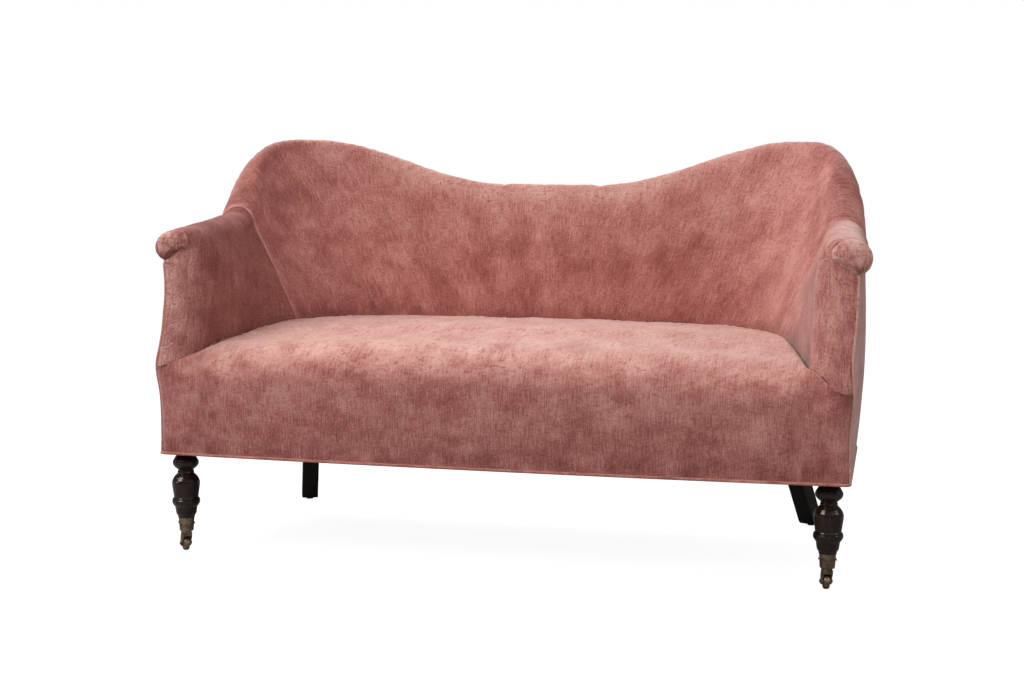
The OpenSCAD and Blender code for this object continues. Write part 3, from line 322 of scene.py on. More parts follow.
class SeatForm:
    """The seat's surface: its height, its columns and its rows."""

    def __init__(self, s: SofaSizes, line: PlanLine) -> None:
        """Keeps the sizes and the line of the seat's edge at the inside back and arms.

        Args:
            s: The sofa's sizes.
            line: The seat's edge at the inside back and arms.
        """
        self.s = s
        self.line = line
        self.fold_at = np.array([s.box_x, s.front_y])

    def height(self, x: np.ndarray, y: np.ndarray) -> np.ndarray:
        """Returns the seat's height: a rise to the back, plus a crown, minus the drop of its outer front corners.

        The drop is steep on the right and long on the left, where X is negative.

        Args:
            x: Places across the sofa.
            y: Places from front to back.

        Returns:
            Heights, one per place.
        """
        s = self.s
        a, d = np.abs(x), y - s.front_y
        late, run = (np.where(x < 0, left, right) for left, right in zip(s.drop_left, s.drop_right))
        share = (a - s.seat_x - late) / (run * (s.box_x - s.seat_x))
        drop = s.corner_drop * mix(ease(share), held(share), s.drop_straight)
        deep = mix(s.crown_front, 1, np.sin(np.pi * held(d / self.depth)))
        crown = s.seat_crown * (1 - held(a / s.seat_x) ** 2) * deep
        return s.seat_z + s.seat_rise * np.sin(np.pi / 2 * held(d / s.rise_run)) - drop + crown

    @property
    def depth(self) -> float:
        """Returns the seat's depth from its front face to the inside back."""
        return self.s.box_d - self.s.back_set

    def sag_z(self, x: np.ndarray) -> np.ndarray:
        """Returns the height of the bottom piping along the front: a shallow parabola."""
        return self.s.box_z - self.s.welt_sag * (1 - (x / self.s.box_x) ** 2)

    def arm_front(self, a: np.ndarray) -> np.ndarray:
        """Returns where the seat ends at the arm's front: along the fold's quarter ellipse, then a parabola.

        Args:
            a: Distances from the sofa's middle.

        Returns:
            The Y of the arm's front less a small gap, or a value far in front where there is no arm.
        """
        s = self.s
        gap = mix(s.seat_ease, s.lobe_ease, held((a - self.fold_at[0]) / s.face_fold))
        late = a + gap - self.fold_at[0]
        limit = np.radians(s.fold_turn)
        turn = np.minimum(np.arccos(np.clip(1 - late / s.face_fold * (1 - np.cos(limit)), -1, 1)), limit)
        fold = self.fold_at[1] - s.fold_r * np.sin(turn)
        front = mix(s.front_y - s.lobe_back[0], fold, held(2 - late / s.face_fold) ** 2)
        return np.where(late > 0, front, -1.0)

    def columns(self, across: int, lobe: int) -> np.ndarray:
        """Returns where each column ends at the back, as plan points from the left corner to the right.

        Args:
            across: Columns on half of the seat's line.
            lobe: Columns in front of an arm.

        Returns:
            The columns' back ends. They follow the seat's line and then run across in front of the arms.
        """
        s = self.s
        share = np.linspace(0, s.seat_line_end, across)[1:]
        line = self.line.at(share) - s.seat_ease
        k = np.linspace(0, 1, lobe + 1)[1:]
        width = s.box_x - s.seat_x - s.corner_gap
        ends = np.stack([s.seat_x + width * k, s.front_y - mix(*s.lobe_back, k)], axis=-1)
        half = np.vstack([line, ends])
        middle = [[0, s.front_y + self.depth - s.seat_ease]]
        return np.vstack([half[::-1] * [-1, 1], middle, half])

    def surface(self, across: int = 90, lobe: int = 16, front: int = 26, edge: int = 16, top: int = 52) -> np.ndarray:
        """Returns the grid of the seat's outside, one column at a time from the bottom of the front to the back.

        The front border swells as a sine, the edge is a quarter ellipse, and the top follows the seat's height.

        Args:
            across: Columns on half of the seat's line.
            lobe: Columns in front of an arm.
            front: Rows on the front border.
            edge: Rows on the rounded edge.
            top: Rows on the top.

        Returns:
            Points as columns by rows by 3.
        """
        s = self.s
        ends = self.columns(across, lobe)
        x, y_end = ends[:, :1], ends[:, 1:]
        a = np.abs(x)
        ahead = held((a - s.seat_x) / (s.box_x - s.seat_x))
        turn = s.corner_turn * s.corner_r
        rounded = held((a - s.box_x + turn) / (turn - s.corner_gap)) ** 2
        round_in = s.corner_r * rounded
        swell = mix(s.front_swell, s.corner_swell, held((a - s.box_x + 2 * turn) / (2 * turn - s.corner_gap)) ** 2)
        y_end = np.maximum(y_end + (s.corner_r + s.corner_swell) * rounded, self.arm_front(a))
        y0 = s.front_y - swell + round_in
        d = np.minimum(s.edge_d, (y_end - y0) * s.edge_most)
        zt = self.height(x, y0 + d)
        h = mix(s.edge_h, s.lobe_h, ahead)
        zc = zt - h
        foot = self.sag_z(x) + s.over_welt
        k = np.linspace(0, 1, front, endpoint=False)[None, :]
        border = (s.front_y + round_in - swell * np.sin(np.pi / 2 * k), mix(foot, zc, k))
        g = np.linspace(0, np.pi / 2, edge, endpoint=False)[None, :]
        rim = (y0 + d * (1 - np.cos(g)), zc + h * np.sin(g))
        k = np.linspace(0, 1, top)[None, :]
        y = mix(y0 + d, y_end, k)
        flat = (y, mix(zt, self.height(np.broadcast_to(x, y.shape), y), np.minimum(1, 3 * k)))
        y = np.hstack([border[0], rim[0], flat[0]])
        z = np.hstack([border[1], rim[1], flat[1]])
        return plan_point(x + np.sign(x) * (corner_x(s, z, x < 0) - s.box_x) * ahead**2, y, z)


def edge_out(s: SofaSizes, z: np.ndarray, left: Values = 0.0) -> np.ndarray:
    """Returns how far the arm's front edge bulges out: bell curves, fuller at the seat's corner on the left arm.

    Args:
        s: The sofa's sizes.
        z: Heights.
        left: 1 on the left arm and 0 on the right one.
    """
    own = mix(*(sum(out * bell((z - at) / wide) for out, at, wide in row) for row in EDGE_BULGES), left)
    return s.corner_out * bell((z - s.seat_z + s.corner_drop) / s.corner_high) + own * MM


def corner_x(s: SofaSizes, z: np.ndarray, left: Values = 0.0) -> np.ndarray:
    """Returns where the arm's outside meets its front: straight, less the waist's parabola, plus the edge's bulge."""
    t = (z - s.box_z) / (s.roll_z - s.box_z)
    return mix(s.box_x, s.arm_x, t) - s.waist * 4 * held(t) * (1 - held(t)) + edge_out(s, z, left)


class WallForm:
    """The back and arms as one wall, from the middle of the back (share 0) to the front of an arm (share 1)."""

    def __init__(self, s: SofaSizes) -> None:
        """Makes the three plan lines and the seat's form from the sizes.

        Args:
            s: The sofa's sizes.
        """
        self.s = s
        depth = s.box_d - s.back_set
        self.base = PlanLine((s.box_x, s.front_y), (s.box_x, s.front_y + s.box_d),
                             s.base_corner, s.base_corner + s.base_corner_more)
        self.top = PlanLine((s.arm_x, s.front_y + s.arm_set), (s.arm_x, s.front_y + s.box_d + s.back_over),
                            s.corner_y, s.arm_x - s.back_flat)
        self.seat = SeatForm(s, PlanLine((s.seat_x, s.front_y), (s.seat_x - s.seat_close, s.front_y + depth),
                                         s.seat_round_y, s.seat_round_x))
        self.hump_run = s.arm_x - s.hump_in
        self.fall_start = self.hump_run + s.hump_flat
        self.arm_start = (self.fall_start + s.fall_run) / self.top.length
        self.seam = (self.fall_start + s.seam_share * s.fall_run) / self.top.length
        self.arm_end = 1 - s.fold_r / self.top.length
        self.seat.fold_at = self.seat_edge(np.array([self.arm_end]))[0, :2]

    def shared(self, f: np.ndarray, k: float) -> np.ndarray:
        """Returns the share on another line: the seam lies at k there, with straight steps on both sides of it."""
        return np.where(f < self.seam, f * k / self.seam, 1 - (1 - f) * (1 - k) / (1 - self.seam))

    def armness(self, f: np.ndarray) -> np.ndarray:
        """Returns the share of arm in a section: a smooth step from the hump to the arm."""
        s = self.s
        return ease((f * self.top.length - self.fall_start - s.arm_late) / (s.fall_run - s.arm_late))

    def along_arm(self, f: np.ndarray) -> np.ndarray:
        """Returns how far a section lies along the arm, from 0 at the back to 1 at the front."""
        return held((f - self.arm_start) / (1 - self.arm_start))

    def top_z(self, f: np.ndarray) -> np.ndarray:
        """Returns the height of the top edge: level, a smooth rise to the hump, a fall, then the arm's slope.

        Args:
            f: Shares along the wall.

        Returns:
            Heights, one per share.
        """
        s, run = self.s, f * self.top.length
        arm_run = self.top.length - self.fall_start - s.fall_run
        arm = s.arm_z + s.arm_rise * held((self.top.length - run) / arm_run) ** s.arm_curve
        rise = mix(s.dip_z, s.hump_z, ease((run - s.dip_run) / (self.hump_run - s.dip_run)))
        fall = mix(s.hump_z, arm, held((run - self.fall_start) / s.fall_run) ** s.fall_curve)
        return np.where(run < self.fall_start, rise, fall)

    def cap_h(self, f: np.ndarray) -> np.ndarray:
        """Returns the height of the rounded top above its widest line."""
        return mix(self.s.back_t / 2 + self.s.back_high, self.s.roll_h, self.armness(f))

    def wall_t(self, f: np.ndarray) -> np.ndarray:
        """Returns the thickness of the wall under its rounded top."""
        return mix(self.s.back_t, self.s.arm_t, self.armness(f))

    def over(self, f: np.ndarray) -> np.ndarray:
        """Returns how far the roll stands out past the wall."""
        s = self.s
        return s.roll_over * self.armness(f) * mix(s.over_back, 1, self.along_arm(f) ** s.over_curve)

    def under_turn(self, f: np.ndarray) -> np.ndarray:
        """Returns how many degrees past its widest line the roll goes under, until it meets the wall's outside.

        The cosine of that angle is half the wall over half the wall plus the overhang.
        """
        half = self.wall_t(f) / 2
        return np.maximum(self.s.least_turn, np.degrees(np.arccos(half / (half + self.over(f)))))

    def spring_z(self, f: np.ndarray) -> np.ndarray:
        """Returns the height at which the wall turns into its rounded top."""
        return self.top_z(f) - self.cap_h(f)

    def outward(self, f: np.ndarray) -> np.ndarray:
        """Returns the wall's outward direction in plan."""
        return self.top.outward(f, self.s.chord)

    def outer_top(self, f: np.ndarray) -> np.ndarray:
        """Returns the outside of the wall at its spring height, leaned back on the back.

        Args:
            f: Shares along the wall.

        Returns:
            Points, one per share.
        """
        s, z, p = self.s, self.spring_z(f), self.top.at(f)
        upright = ease((f * self.top.length - self.hump_run) / s.fall_run)
        return plan_point(p[..., 0], p[..., 1] + s.back_lean * (z - s.hump_z) * (1 - upright), z)

    def inner_top(self, f: np.ndarray) -> np.ndarray:
        """Returns the inside of the wall at its spring height."""
        return self.outer_top(f) - self.outward(f) * self.wall_t(f)[..., None]

    def outer_foot(self, f: np.ndarray) -> np.ndarray:
        """Returns the outside of the wall at the bottom edge of the covers."""
        p = self.base.at(self.shared(f, self.s.base_seam))
        return plan_point(p[..., 0], p[..., 1], self.s.box_z)

    def seat_edge(self, f: np.ndarray) -> np.ndarray:
        """Returns where the inside of the wall meets the seat."""
        p = self.seat.line.at(self.shared(f, self.s.seat_seam))
        return plan_point(p[..., 0], p[..., 1], self.seat.height(p[..., 0], p[..., 1]))

    def front_lean(self, z: np.ndarray) -> np.ndarray:
        """Returns how far the arm's front lies behind the seat's front at a height: a straight slope.

        Args:
            z: Heights.

        Returns:
            Distances, one per height.
        """
        s = self.s
        low = s.seat_z - s.lean_low
        return s.arm_set * held((z - low) / (s.roll_z - low))

    def outer(self, f: np.ndarray, z: np.ndarray, left: float = 0.0) -> np.ndarray:
        """Returns points of the wall's outside.

        The wall runs straight from its foot to its top, plus a parabola that draws in at the back and swells at the
        front, plus the bulge of the seat's corner, plus the lean of the arm's front.

        Args:
            f: Shares along the wall, one per column.
            z: Heights, as columns by rows.
            left: 1 for the left arm.

        Returns:
            Points as columns by rows by 3.
        """
        s = self.s
        a, b = self.outer_foot(f)[:, None], self.outer_top(f)[:, None]
        top = self.spring_z(f)[:, None]
        t = (z - s.box_z) / (b[..., 2] - s.box_z)
        col = f[:, None]
        swell = mix(-s.waist, s.belly, held((1 - col) / s.belly_reach)) * 4 * held(t) * (1 - held(t))
        out = self.outward(f)[:, None] * (swell + edge_out(s, z, left) * held((col - 1) / s.edge_run + 1))[..., None]
        fix = self.along_arm(col) * (self.front_lean(z) - s.arm_set * held((z - s.box_z) / (top - s.box_z)))
        points = mix(a, b, t[..., None]) + out
        points[..., 1] += fix
        return points

    def inner(self, f: np.ndarray, t: np.ndarray) -> np.ndarray:
        """Returns points of the wall's inside: straight from under the seat to the top, plus an even swell.

        Args:
            f: Shares along the wall, one per column.
            t: Shares of the height, one per row.

        Returns:
            Points as columns by rows by 3.
        """
        s = self.s
        a, b = self.seat_edge(f)[:, None] - [0, 0, s.seat_tuck], self.inner_top(f)[:, None]
        col, row = f[:, None], t[None, :]
        puff = mix(s.back_puff, s.arm_puff, self.armness(col)) - s.front_flatter * held((col - 1) / s.flat_run + 1)
        return mix(a, b, row[..., None]) - self.outward(f)[:, None] * (puff * 4 * row * (1 - row))[..., None]

    def cap(self, f: np.ndarray, angle: np.ndarray, inset: Values = 0.0) -> np.ndarray:
        """Returns points of the rounded top: ellipses that are wider outside on the arms and lower under the roll.

        Args:
            f: Shares along the wall, one per column.
            angle: Degrees, one per row: 0 inside, 90 on top, 180 outside and up to the under angle more under the
                roll, where the last row is drawn to the wall's outside.
            inset: How far inside the surface the points lie, one value or one per column.

        Returns:
            Points as columns by rows by 3.
        """
        inner, outer = self.inner_top(f), self.outer_top(f)
        half, high = self.wall_t(f)[:, None] / 2, self.cap_h(f)[:, None]
        inset = np.broadcast_to(inset, f.shape)[:, None]
        more = (self.under_turn(f) - self.s.under_angle)[:, None]
        g = angle[None, :] + held((angle - 180) / self.s.under_angle) * more
        wide = np.where(g < 90, half, half + self.over(f)[:, None]) - inset
        tall = np.where(g <= 180, high, high * self.s.under_share) - inset
        turn = np.radians(g)
        points = ((inner + outer) / 2)[:, None] - self.outward(f)[:, None] * (np.cos(turn) * wide)[..., None]
        points[..., 2] += np.sin(turn) * tall
        return points

    def inside(self, f: np.ndarray, faces: int, angles: np.ndarray) -> np.ndarray:
        """Returns an inside cover's grid: up the inside, then over the rounded top, with the join smoothed.

        Args:
            f: Shares along the wall, one per column.
            faces: Rows up the inside.
            angles: Degrees of the rows over the top.

        Returns:
            Points as columns by rows by 3.
        """
        t = np.linspace(0, 1, faces)
        grid = np.concatenate([self.inner(f, t), self.cap(f, angles)], axis=1)
        near = bell((np.arange(1, grid.shape[1] - 1) - faces + 2) / (self.s.join_reach * faces))[None, :, None]
        for _ in range(self.s.join_rounds):
            grid[:, 1:-1] += 0.5 * near * (mix(grid[:, :-2], grid[:, 2:], 0.5) - grid[:, 1:-1])
        return grid

    def outer_head(self, f: np.ndarray) -> np.ndarray:
        """Returns the top of the outside covers, where the rounded top or the roll ends on the wall's outside.

        Args:
            f: Shares along the wall.

        Returns:
            Heights, one per share.
        """
        s = self.s
        under = np.sin(np.radians(self.under_turn(f))) * self.cap_h(f) * s.under_share
        return self.spring_z(f) - s.cover_t / 2 - under

    def pad_back(self, f: np.ndarray, t: np.ndarray) -> np.ndarray:
        """Returns the back of the stuffing: its thickness behind the cover, and in front of the timbers.

        Args:
            f: Shares along the wall, one per column.
            t: Shares of the height, one per row.

        Returns:
            Points as columns by rows by 3.
        """
        s = self.s
        p = self.inner(f, t)
        a, b = self.outer_foot(f)[:, None], self.outer_top(f)[:, None]
        deep = mix(s.wood_in + s.strap_gap + s.web_t + 3 * s.lay_gap, s.post_depth, self.armness(f))
        share = ((p[..., 2] - s.box_z) / (b[..., 2] - s.box_z))[..., None]
        q = mix(a, b, share) - self.outward(f)[:, None] * deep[:, None, None]
        v = q - p
        length = np.linalg.norm(v, axis=-1, keepdims=True)
        return p + v * np.minimum(1, (s.pad_t + s.skin) / length)


def mirrored(grid: np.ndarray, side: Side) -> np.ndarray:
    """Returns a grid of the right side as it lies on the given side, with its faces still pointing outwards."""
    return grid if side is Side.RIGHT else grid[::-1] * [-1, 1, 1]


def grid_normals(grid: np.ndarray) -> np.ndarray:
    """Returns unit normals: the cross product of the central differences along the two directions."""
    n = np.cross(np.gradient(grid, axis=0), np.gradient(grid, axis=1))
    return n / np.maximum(np.linalg.norm(n, axis=-1, keepdims=True), 1e-12)


def lengths_along(grid: np.ndarray, axis: int) -> np.ndarray:
    """Returns the length run along one direction of a grid, at every point.

    Args:
        grid: Points as columns by rows by 3.
        axis: 0 for across the columns, 1 for along them.

    Returns:
        Lengths in metres, one per point.
    """
    step = np.linalg.norm(np.diff(grid, axis=axis), axis=-1)
    start = np.zeros_like(np.take(step, [0], axis=axis))
    return np.concatenate([start, np.cumsum(step, axis=axis)], axis=axis)


def ripples(u: np.ndarray, v: np.ndarray, seed: int, short: float, long: float, waves: int = 9) -> np.ndarray:
    """Returns a gentle unevenness between about -1 and 1: a sum of sine waves in many directions.

    Args:
        u: First coordinate, in metres.
        v: Second coordinate, in metres.
        seed: Start of the random directions, so that each piece differs and every run is the same.
        short: Shortest wave length.
        long: Longest wave length.
        waves: How many waves are added.

    Returns:
        The sum, one value per point.
    """
    rng = np.random.default_rng(seed)
    size = rng.uniform(short, long, waves)
    angle, phase = rng.uniform(0, 2 * np.pi, (2, waves))
    arg = 2 * np.pi / size * (u[..., None] * np.cos(angle) + v[..., None] * np.sin(angle)) + phase
    return np.sin(arg).sum(axis=-1) / np.sqrt(waves) * RIPPLE_HEIGHT


def linked(name: str, data: bpy.types.ID) -> bpy.types.Object:
    """Returns a new object with the given data, linked to the scene.

    Args:
        name: The object's name.
        data: Its mesh, camera or light.

    Returns:
        The object.
    """
    made = bpy.data.objects.new(name, data)
    bpy.context.scene.collection.objects.link(made)
    return made


def closed_mesh(name: str, points: np.ndarray, faces: np.ndarray, maps: dict) -> bpy.types.Object:
    """Makes an object from points, faces and coordinates for each point.

    Args:
        name: The piece's name.
        points: Points as a list by 3.
        faces: Corner numbers, four to a face.
        maps: Coordinate maps by name. "cloth" has a pair of lengths in metres for each point, for patterns that
        follow the cloth, and "rub" has how much rubbed pile and painted highlight, and how much painted shade, there
        is.

    Returns:
        The object, linked to the scene, with smooth faces and its sharp rims marked.
    """
    mesh = bpy.data.meshes.new(name)
    mesh.from_pydata(points.reshape(-1, 3).tolist(), [], faces.tolist())
    corner = np.empty(len(mesh.loops), dtype=np.int32)
    mesh.loops.foreach_get("vertex_index", corner)
    for label, pairs in maps.items():
        layer = mesh.uv_layers.new(name=label)
        layer.data.foreach_set("uv", pairs.reshape(-1, 2)[corner].astype(np.float32).ravel())
    mesh.validate()
    mesh.shade_smooth()
    mesh.set_sharp_from_angle(angle=np.radians(SHARP_ANGLE))
    return linked(name, mesh)


def grid_faces(index: np.ndarray) -> np.ndarray:
    """Returns the faces of a grid from its points' numbers, four to a face."""
    return np.stack([index[:-1, :-1], index[1:, :-1], index[1:, 1:], index[:-1, 1:]], axis=-1).reshape(-1, 4)


def ring_faces(count: int, sides: int) -> np.ndarray:
    """Returns the faces between rings of points, ring by side by 4. The last ring's faces lead back to the first.

    Args:
        count: How many rings there are.
        sides: Points in each ring.

    Returns:
        Corner numbers, four to a face.
    """
    index = np.arange(count * sides).reshape(count, sides)
    turned = np.roll(index, -1, axis=1)
    return np.stack([index, turned, np.roll(turned, -1, axis=0), np.roll(index, -1, axis=0)], axis=-1)


def slab_faces(rows: int, cols: int) -> np.ndarray:
    """Returns the faces of a closed slab between two grids: both sides and the four rims.

    Args:
        rows: Points along the first direction.
        cols: Points along the second direction.

    Returns:
        Corner numbers, four to a face. The second grid's points follow the first's.
    """
    index = np.arange(rows * cols).reshape(rows, cols)
    low = index + rows * cols
    quads = grid_faces(index)
    back = quads[:, ::-1] + rows * cols
    start = np.stack([index[0, :-1], index[0, 1:], low[0, 1:], low[0, :-1]], axis=-1)
    end = np.stack([index[-1, 1:], index[-1, :-1], low[-1, :-1], low[-1, 1:]], axis=-1)
    bottom = np.stack([index[1:, 0], index[:-1, 0], low[:-1, 0], low[1:, 0]], axis=-1)
    top = np.stack([index[:-1, -1], index[1:, -1], low[1:, -1], low[:-1, -1]], axis=-1)
    return np.vstack([quads, back, start, end, bottom, top])


def slab(name: str, upper: np.ndarray, lower: np.ndarray, maps: dict | None = None) -> bpy.types.Object:
    """Makes a closed piece between two grids of the same size, with the same coordinates on both.

    Args:
        name: The piece's name.
        upper: Its outside, as columns by rows by 3.
        lower: Its inside, of the same size.
        maps: Coordinate maps, as for closed_mesh.

    Returns:
        The closed piece.
    """
    rows, cols = upper.shape[:2]
    both = {label: np.concatenate([pairs.reshape(-1, 2)] * 2) for label, pairs in (maps or {}).items()}
    points = np.concatenate([upper.reshape(-1, 3), lower.reshape(-1, 3)])
    return closed_mesh(name, points, slab_faces(rows, cols), both)


def tube(name: str, path: np.ndarray, radius: float, sides: int, wear_and_sheen: float, closed: bool) -> bpy.types.Object:
    """Makes piping: rings round a path, each square to it and upright.

    Args:
        name: The piece's name.
        path: Points that the piping follows.
        radius: Radius of the piping.
        sides: Points in each ring.
        wear_and_sheen: How pale its pile is: rubbed pile with a painted highlight.
        closed: True if the end meets the start.

    Returns:
        The closed piece.
    """
    count = len(path)
    ahead = np.roll(path, -1, axis=0) - np.roll(path, 1, axis=0)
    if not closed:
        ahead[0], ahead[-1] = path[1] - path[0], path[-1] - path[-2]
    ahead /= np.linalg.norm(ahead, axis=1, keepdims=True)
    guide = np.where(np.abs(ahead[:, 2:]) > 0.7, [[0.0, 1.0, 0.0]], [[0.0, 0.0, 1.0]])
    a = np.cross(ahead, guide)
    a /= np.linalg.norm(a, axis=1, keepdims=True)
    b = np.cross(a, ahead)
    turn = np.arange(sides) * 2 * np.pi / sides
    ring = a[:, None] * np.cos(turn)[None, :, None] + b[:, None] * np.sin(turn)[None, :, None]
    points = path[:, None] + ring * radius
    run = np.concatenate([[0], np.cumsum(np.linalg.norm(np.diff(path, axis=0), axis=1))])
    cloth = np.stack(np.broadcast_arrays(radius * turn[None, :], run[:, None]), axis=-1)
    maps = {"cloth": cloth, "rub": np.zeros_like(cloth) + [wear_and_sheen, 0.0]}
    quads = ring_faces(count, sides)
    if closed:
        return closed_mesh(name, points, quads.reshape(-1, 4), maps)
    ends = [list(range(sides))[::-1], list(range((count - 1) * sides, count * sides))]
    faces = quads[:-1].reshape(-1, 4).tolist() + ends
    return closed_mesh(name, points, np.array(faces, dtype=object), maps)


@dataclass(frozen=True)
class ClothRun:
    """One run of Blender's cloth on a cover that is held at its edges and swells under an even pressure inside them."""

    pressure: float
    most: float
    frames: int = 20
    rest_hold: float = 0.25
    hold_steps: int = 20
    slack: float = 0.010
    mass: float = 0.3
    stiffness: float = 12.0
    bending: float = 0.3

    def settle(self, grid: np.ndarray, hold: np.ndarray) -> np.ndarray:
        """Lets a cover swell and ease, and caps how far each point moved with a smooth limit.

        Args:
            grid: The cover's outside, as columns by rows by 3.
            hold: How firmly each point is held, from 0 to 1.

        Returns:
            The grid after the run.
        """
        rows, cols = grid.shape[:2]
        index = np.arange(rows * cols).reshape(rows, cols)
        sheet = closed_mesh("settling_cover", grid, grid_faces(index), {})
        group = sheet.vertex_groups.new(name="held")
        level = np.round(np.maximum(hold, self.rest_hold) * self.hold_steps).astype(int).ravel()
        for k in np.unique(level):
            group.add(np.flatnonzero(level == k).tolist(), float(k) / self.hold_steps, "REPLACE")
        cloth = sheet.modifiers.new("cloth", "CLOTH")
        settings = {"quality": 4, "mass": self.mass, "compression_stiffness": self.stiffness,
                    "tension_stiffness": self.stiffness, "bending_stiffness": self.bending, "use_pressure": True,
                    "uniform_pressure_force": self.pressure, "shrink_min": -self.slack,
                    "vertex_group_mass": group.name, "pin_stiffness": 1.0}
        for key, value in settings.items():
            setattr(cloth.settings, key, value)
        cloth.settings.effector_weights.gravity = 0
        cloth.collision_settings.use_collision = False
        cloth.point_cache.frame_start = 1
        cloth.point_cache.frame_end = self.frames
        for frame in range(1, self.frames + 1):
            bpy.context.scene.frame_set(frame)
        shown = sheet.evaluated_get(bpy.context.evaluated_depsgraph_get())
        moved = np.empty(rows * cols * 3)
        shown.data.vertices.foreach_get("co", moved)
        bpy.context.scene.frame_set(1)
        bpy.data.objects.remove(sheet)
        move = moved.reshape(grid.shape) - grid
        length = np.maximum(np.linalg.norm(move, axis=-1, keepdims=True), 1e-9)
        return grid + move * (np.tanh(length / self.most) * self.most / length)


def linear(code: str) -> tuple:
    """Returns an sRGB hex colour as linear red, green, blue and 1.

    Args:
        code: The colour as a hash sign and six hex digits.

    Returns:
        Four values between 0 and 1.
    """
    values = np.array([int(code[i:i + 2], 16) for i in (1, 3, 5)]) / 255
    low, high = values / 12.92, ((values + 0.055) / 1.055) ** 2.4
    return (*np.where(values <= 0.04045, low, high).tolist(), 1.0)


def feed(tree: bpy.types.NodeTree, node: bpy.types.Node, links: dict) -> None:
    """Sets inputs of a node, each to its value or to the output socket that feeds it.

    Args:
        tree: The node tree.
        node: The node.
        links: Input name or number to what it gets.
    """
    for key, value in links.items():
        if isinstance(value, bpy.types.NodeSocket):
            tree.links.new(value, node.inputs[key])
        else:
            node.inputs[key].default_value = value


def add(tree: bpy.types.NodeTree, kind: str, links: dict | None = None, **settings) -> bpy.types.Node:
    """Adds a node with its settings and links.

    Args:
        tree: The node tree.
        kind: The node's type name.
        links: Input name or number to its value, or to the output socket that feeds it.
        settings: The node's own properties.

    Returns:
        The new node.
    """
    node = tree.nodes.new(kind)
    for key, value in settings.items():
        setattr(node, key, value)
    feed(tree, node, links or {})
    return node


def ramp(tree: bpy.types.NodeTree, fac: bpy.types.NodeSocket, stops: list) -> bpy.types.NodeSocket:
    """Adds a colour ramp with the given (place, hex colour) stops and returns its colour.

    Args:
        tree: The node tree.
        fac: The value that is looked up.
        stops: Pairs of a place and a hex colour, in order.

    Returns:
        The colour's socket.
    """
    node = add(tree, "ShaderNodeValToRGB", {"Fac": fac})
    band = node.color_ramp.elements
    while len(band) < len(stops):
        band.new(0.5)
    for element, (place, code) in zip(band, stops):
        element.position = place
        element.color = linear(code)
    return node.outputs["Color"]


def cleared(owner: bpy.types.ID) -> bpy.types.NodeTree:
    """Returns the node tree of a material or a world, emptied.

    Args:
        owner: The material or world.

    Returns:
        Its tree.
    """
    owner.use_nodes = True
    owner.node_tree.nodes.clear()
    return owner.node_tree


def blank(name: str) -> tuple:
    """Returns a new material, its tree, and its shader linked to the output.

    Args:
        name: The material's name.

    Returns:
        The material, its tree and its shader.
    """
    material = bpy.data.materials.new(name)
    tree = cleared(material)
    shader = add(tree, "ShaderNodeBsdfPrincipled")
    add(tree, "ShaderNodeOutputMaterial", {"Surface": shader.outputs["BSDF"]})
    return material, tree, shader


def weighted(tree: bpy.types.NodeTree, parts: Iterable) -> bpy.types.NodeSocket:
    """Adds sockets' values together, each times the weight that is paired with it, and returns the sum.

    Args:
        tree: The node tree.
        parts: Pairs of a socket and a weight.

    Returns:
        The sum's socket.
    """
    total = None
    for socket, weight in parts:
        scaled = add(tree, "ShaderNodeMath", {0: socket, 1: weight}, operation="MULTIPLY")
        if total is None:
            total = scaled.outputs[0]
        else:
            total = add(tree, "ShaderNodeMath", {0: total, 1: scaled.outputs[0]}, operation="ADD").outputs[0]
    return total


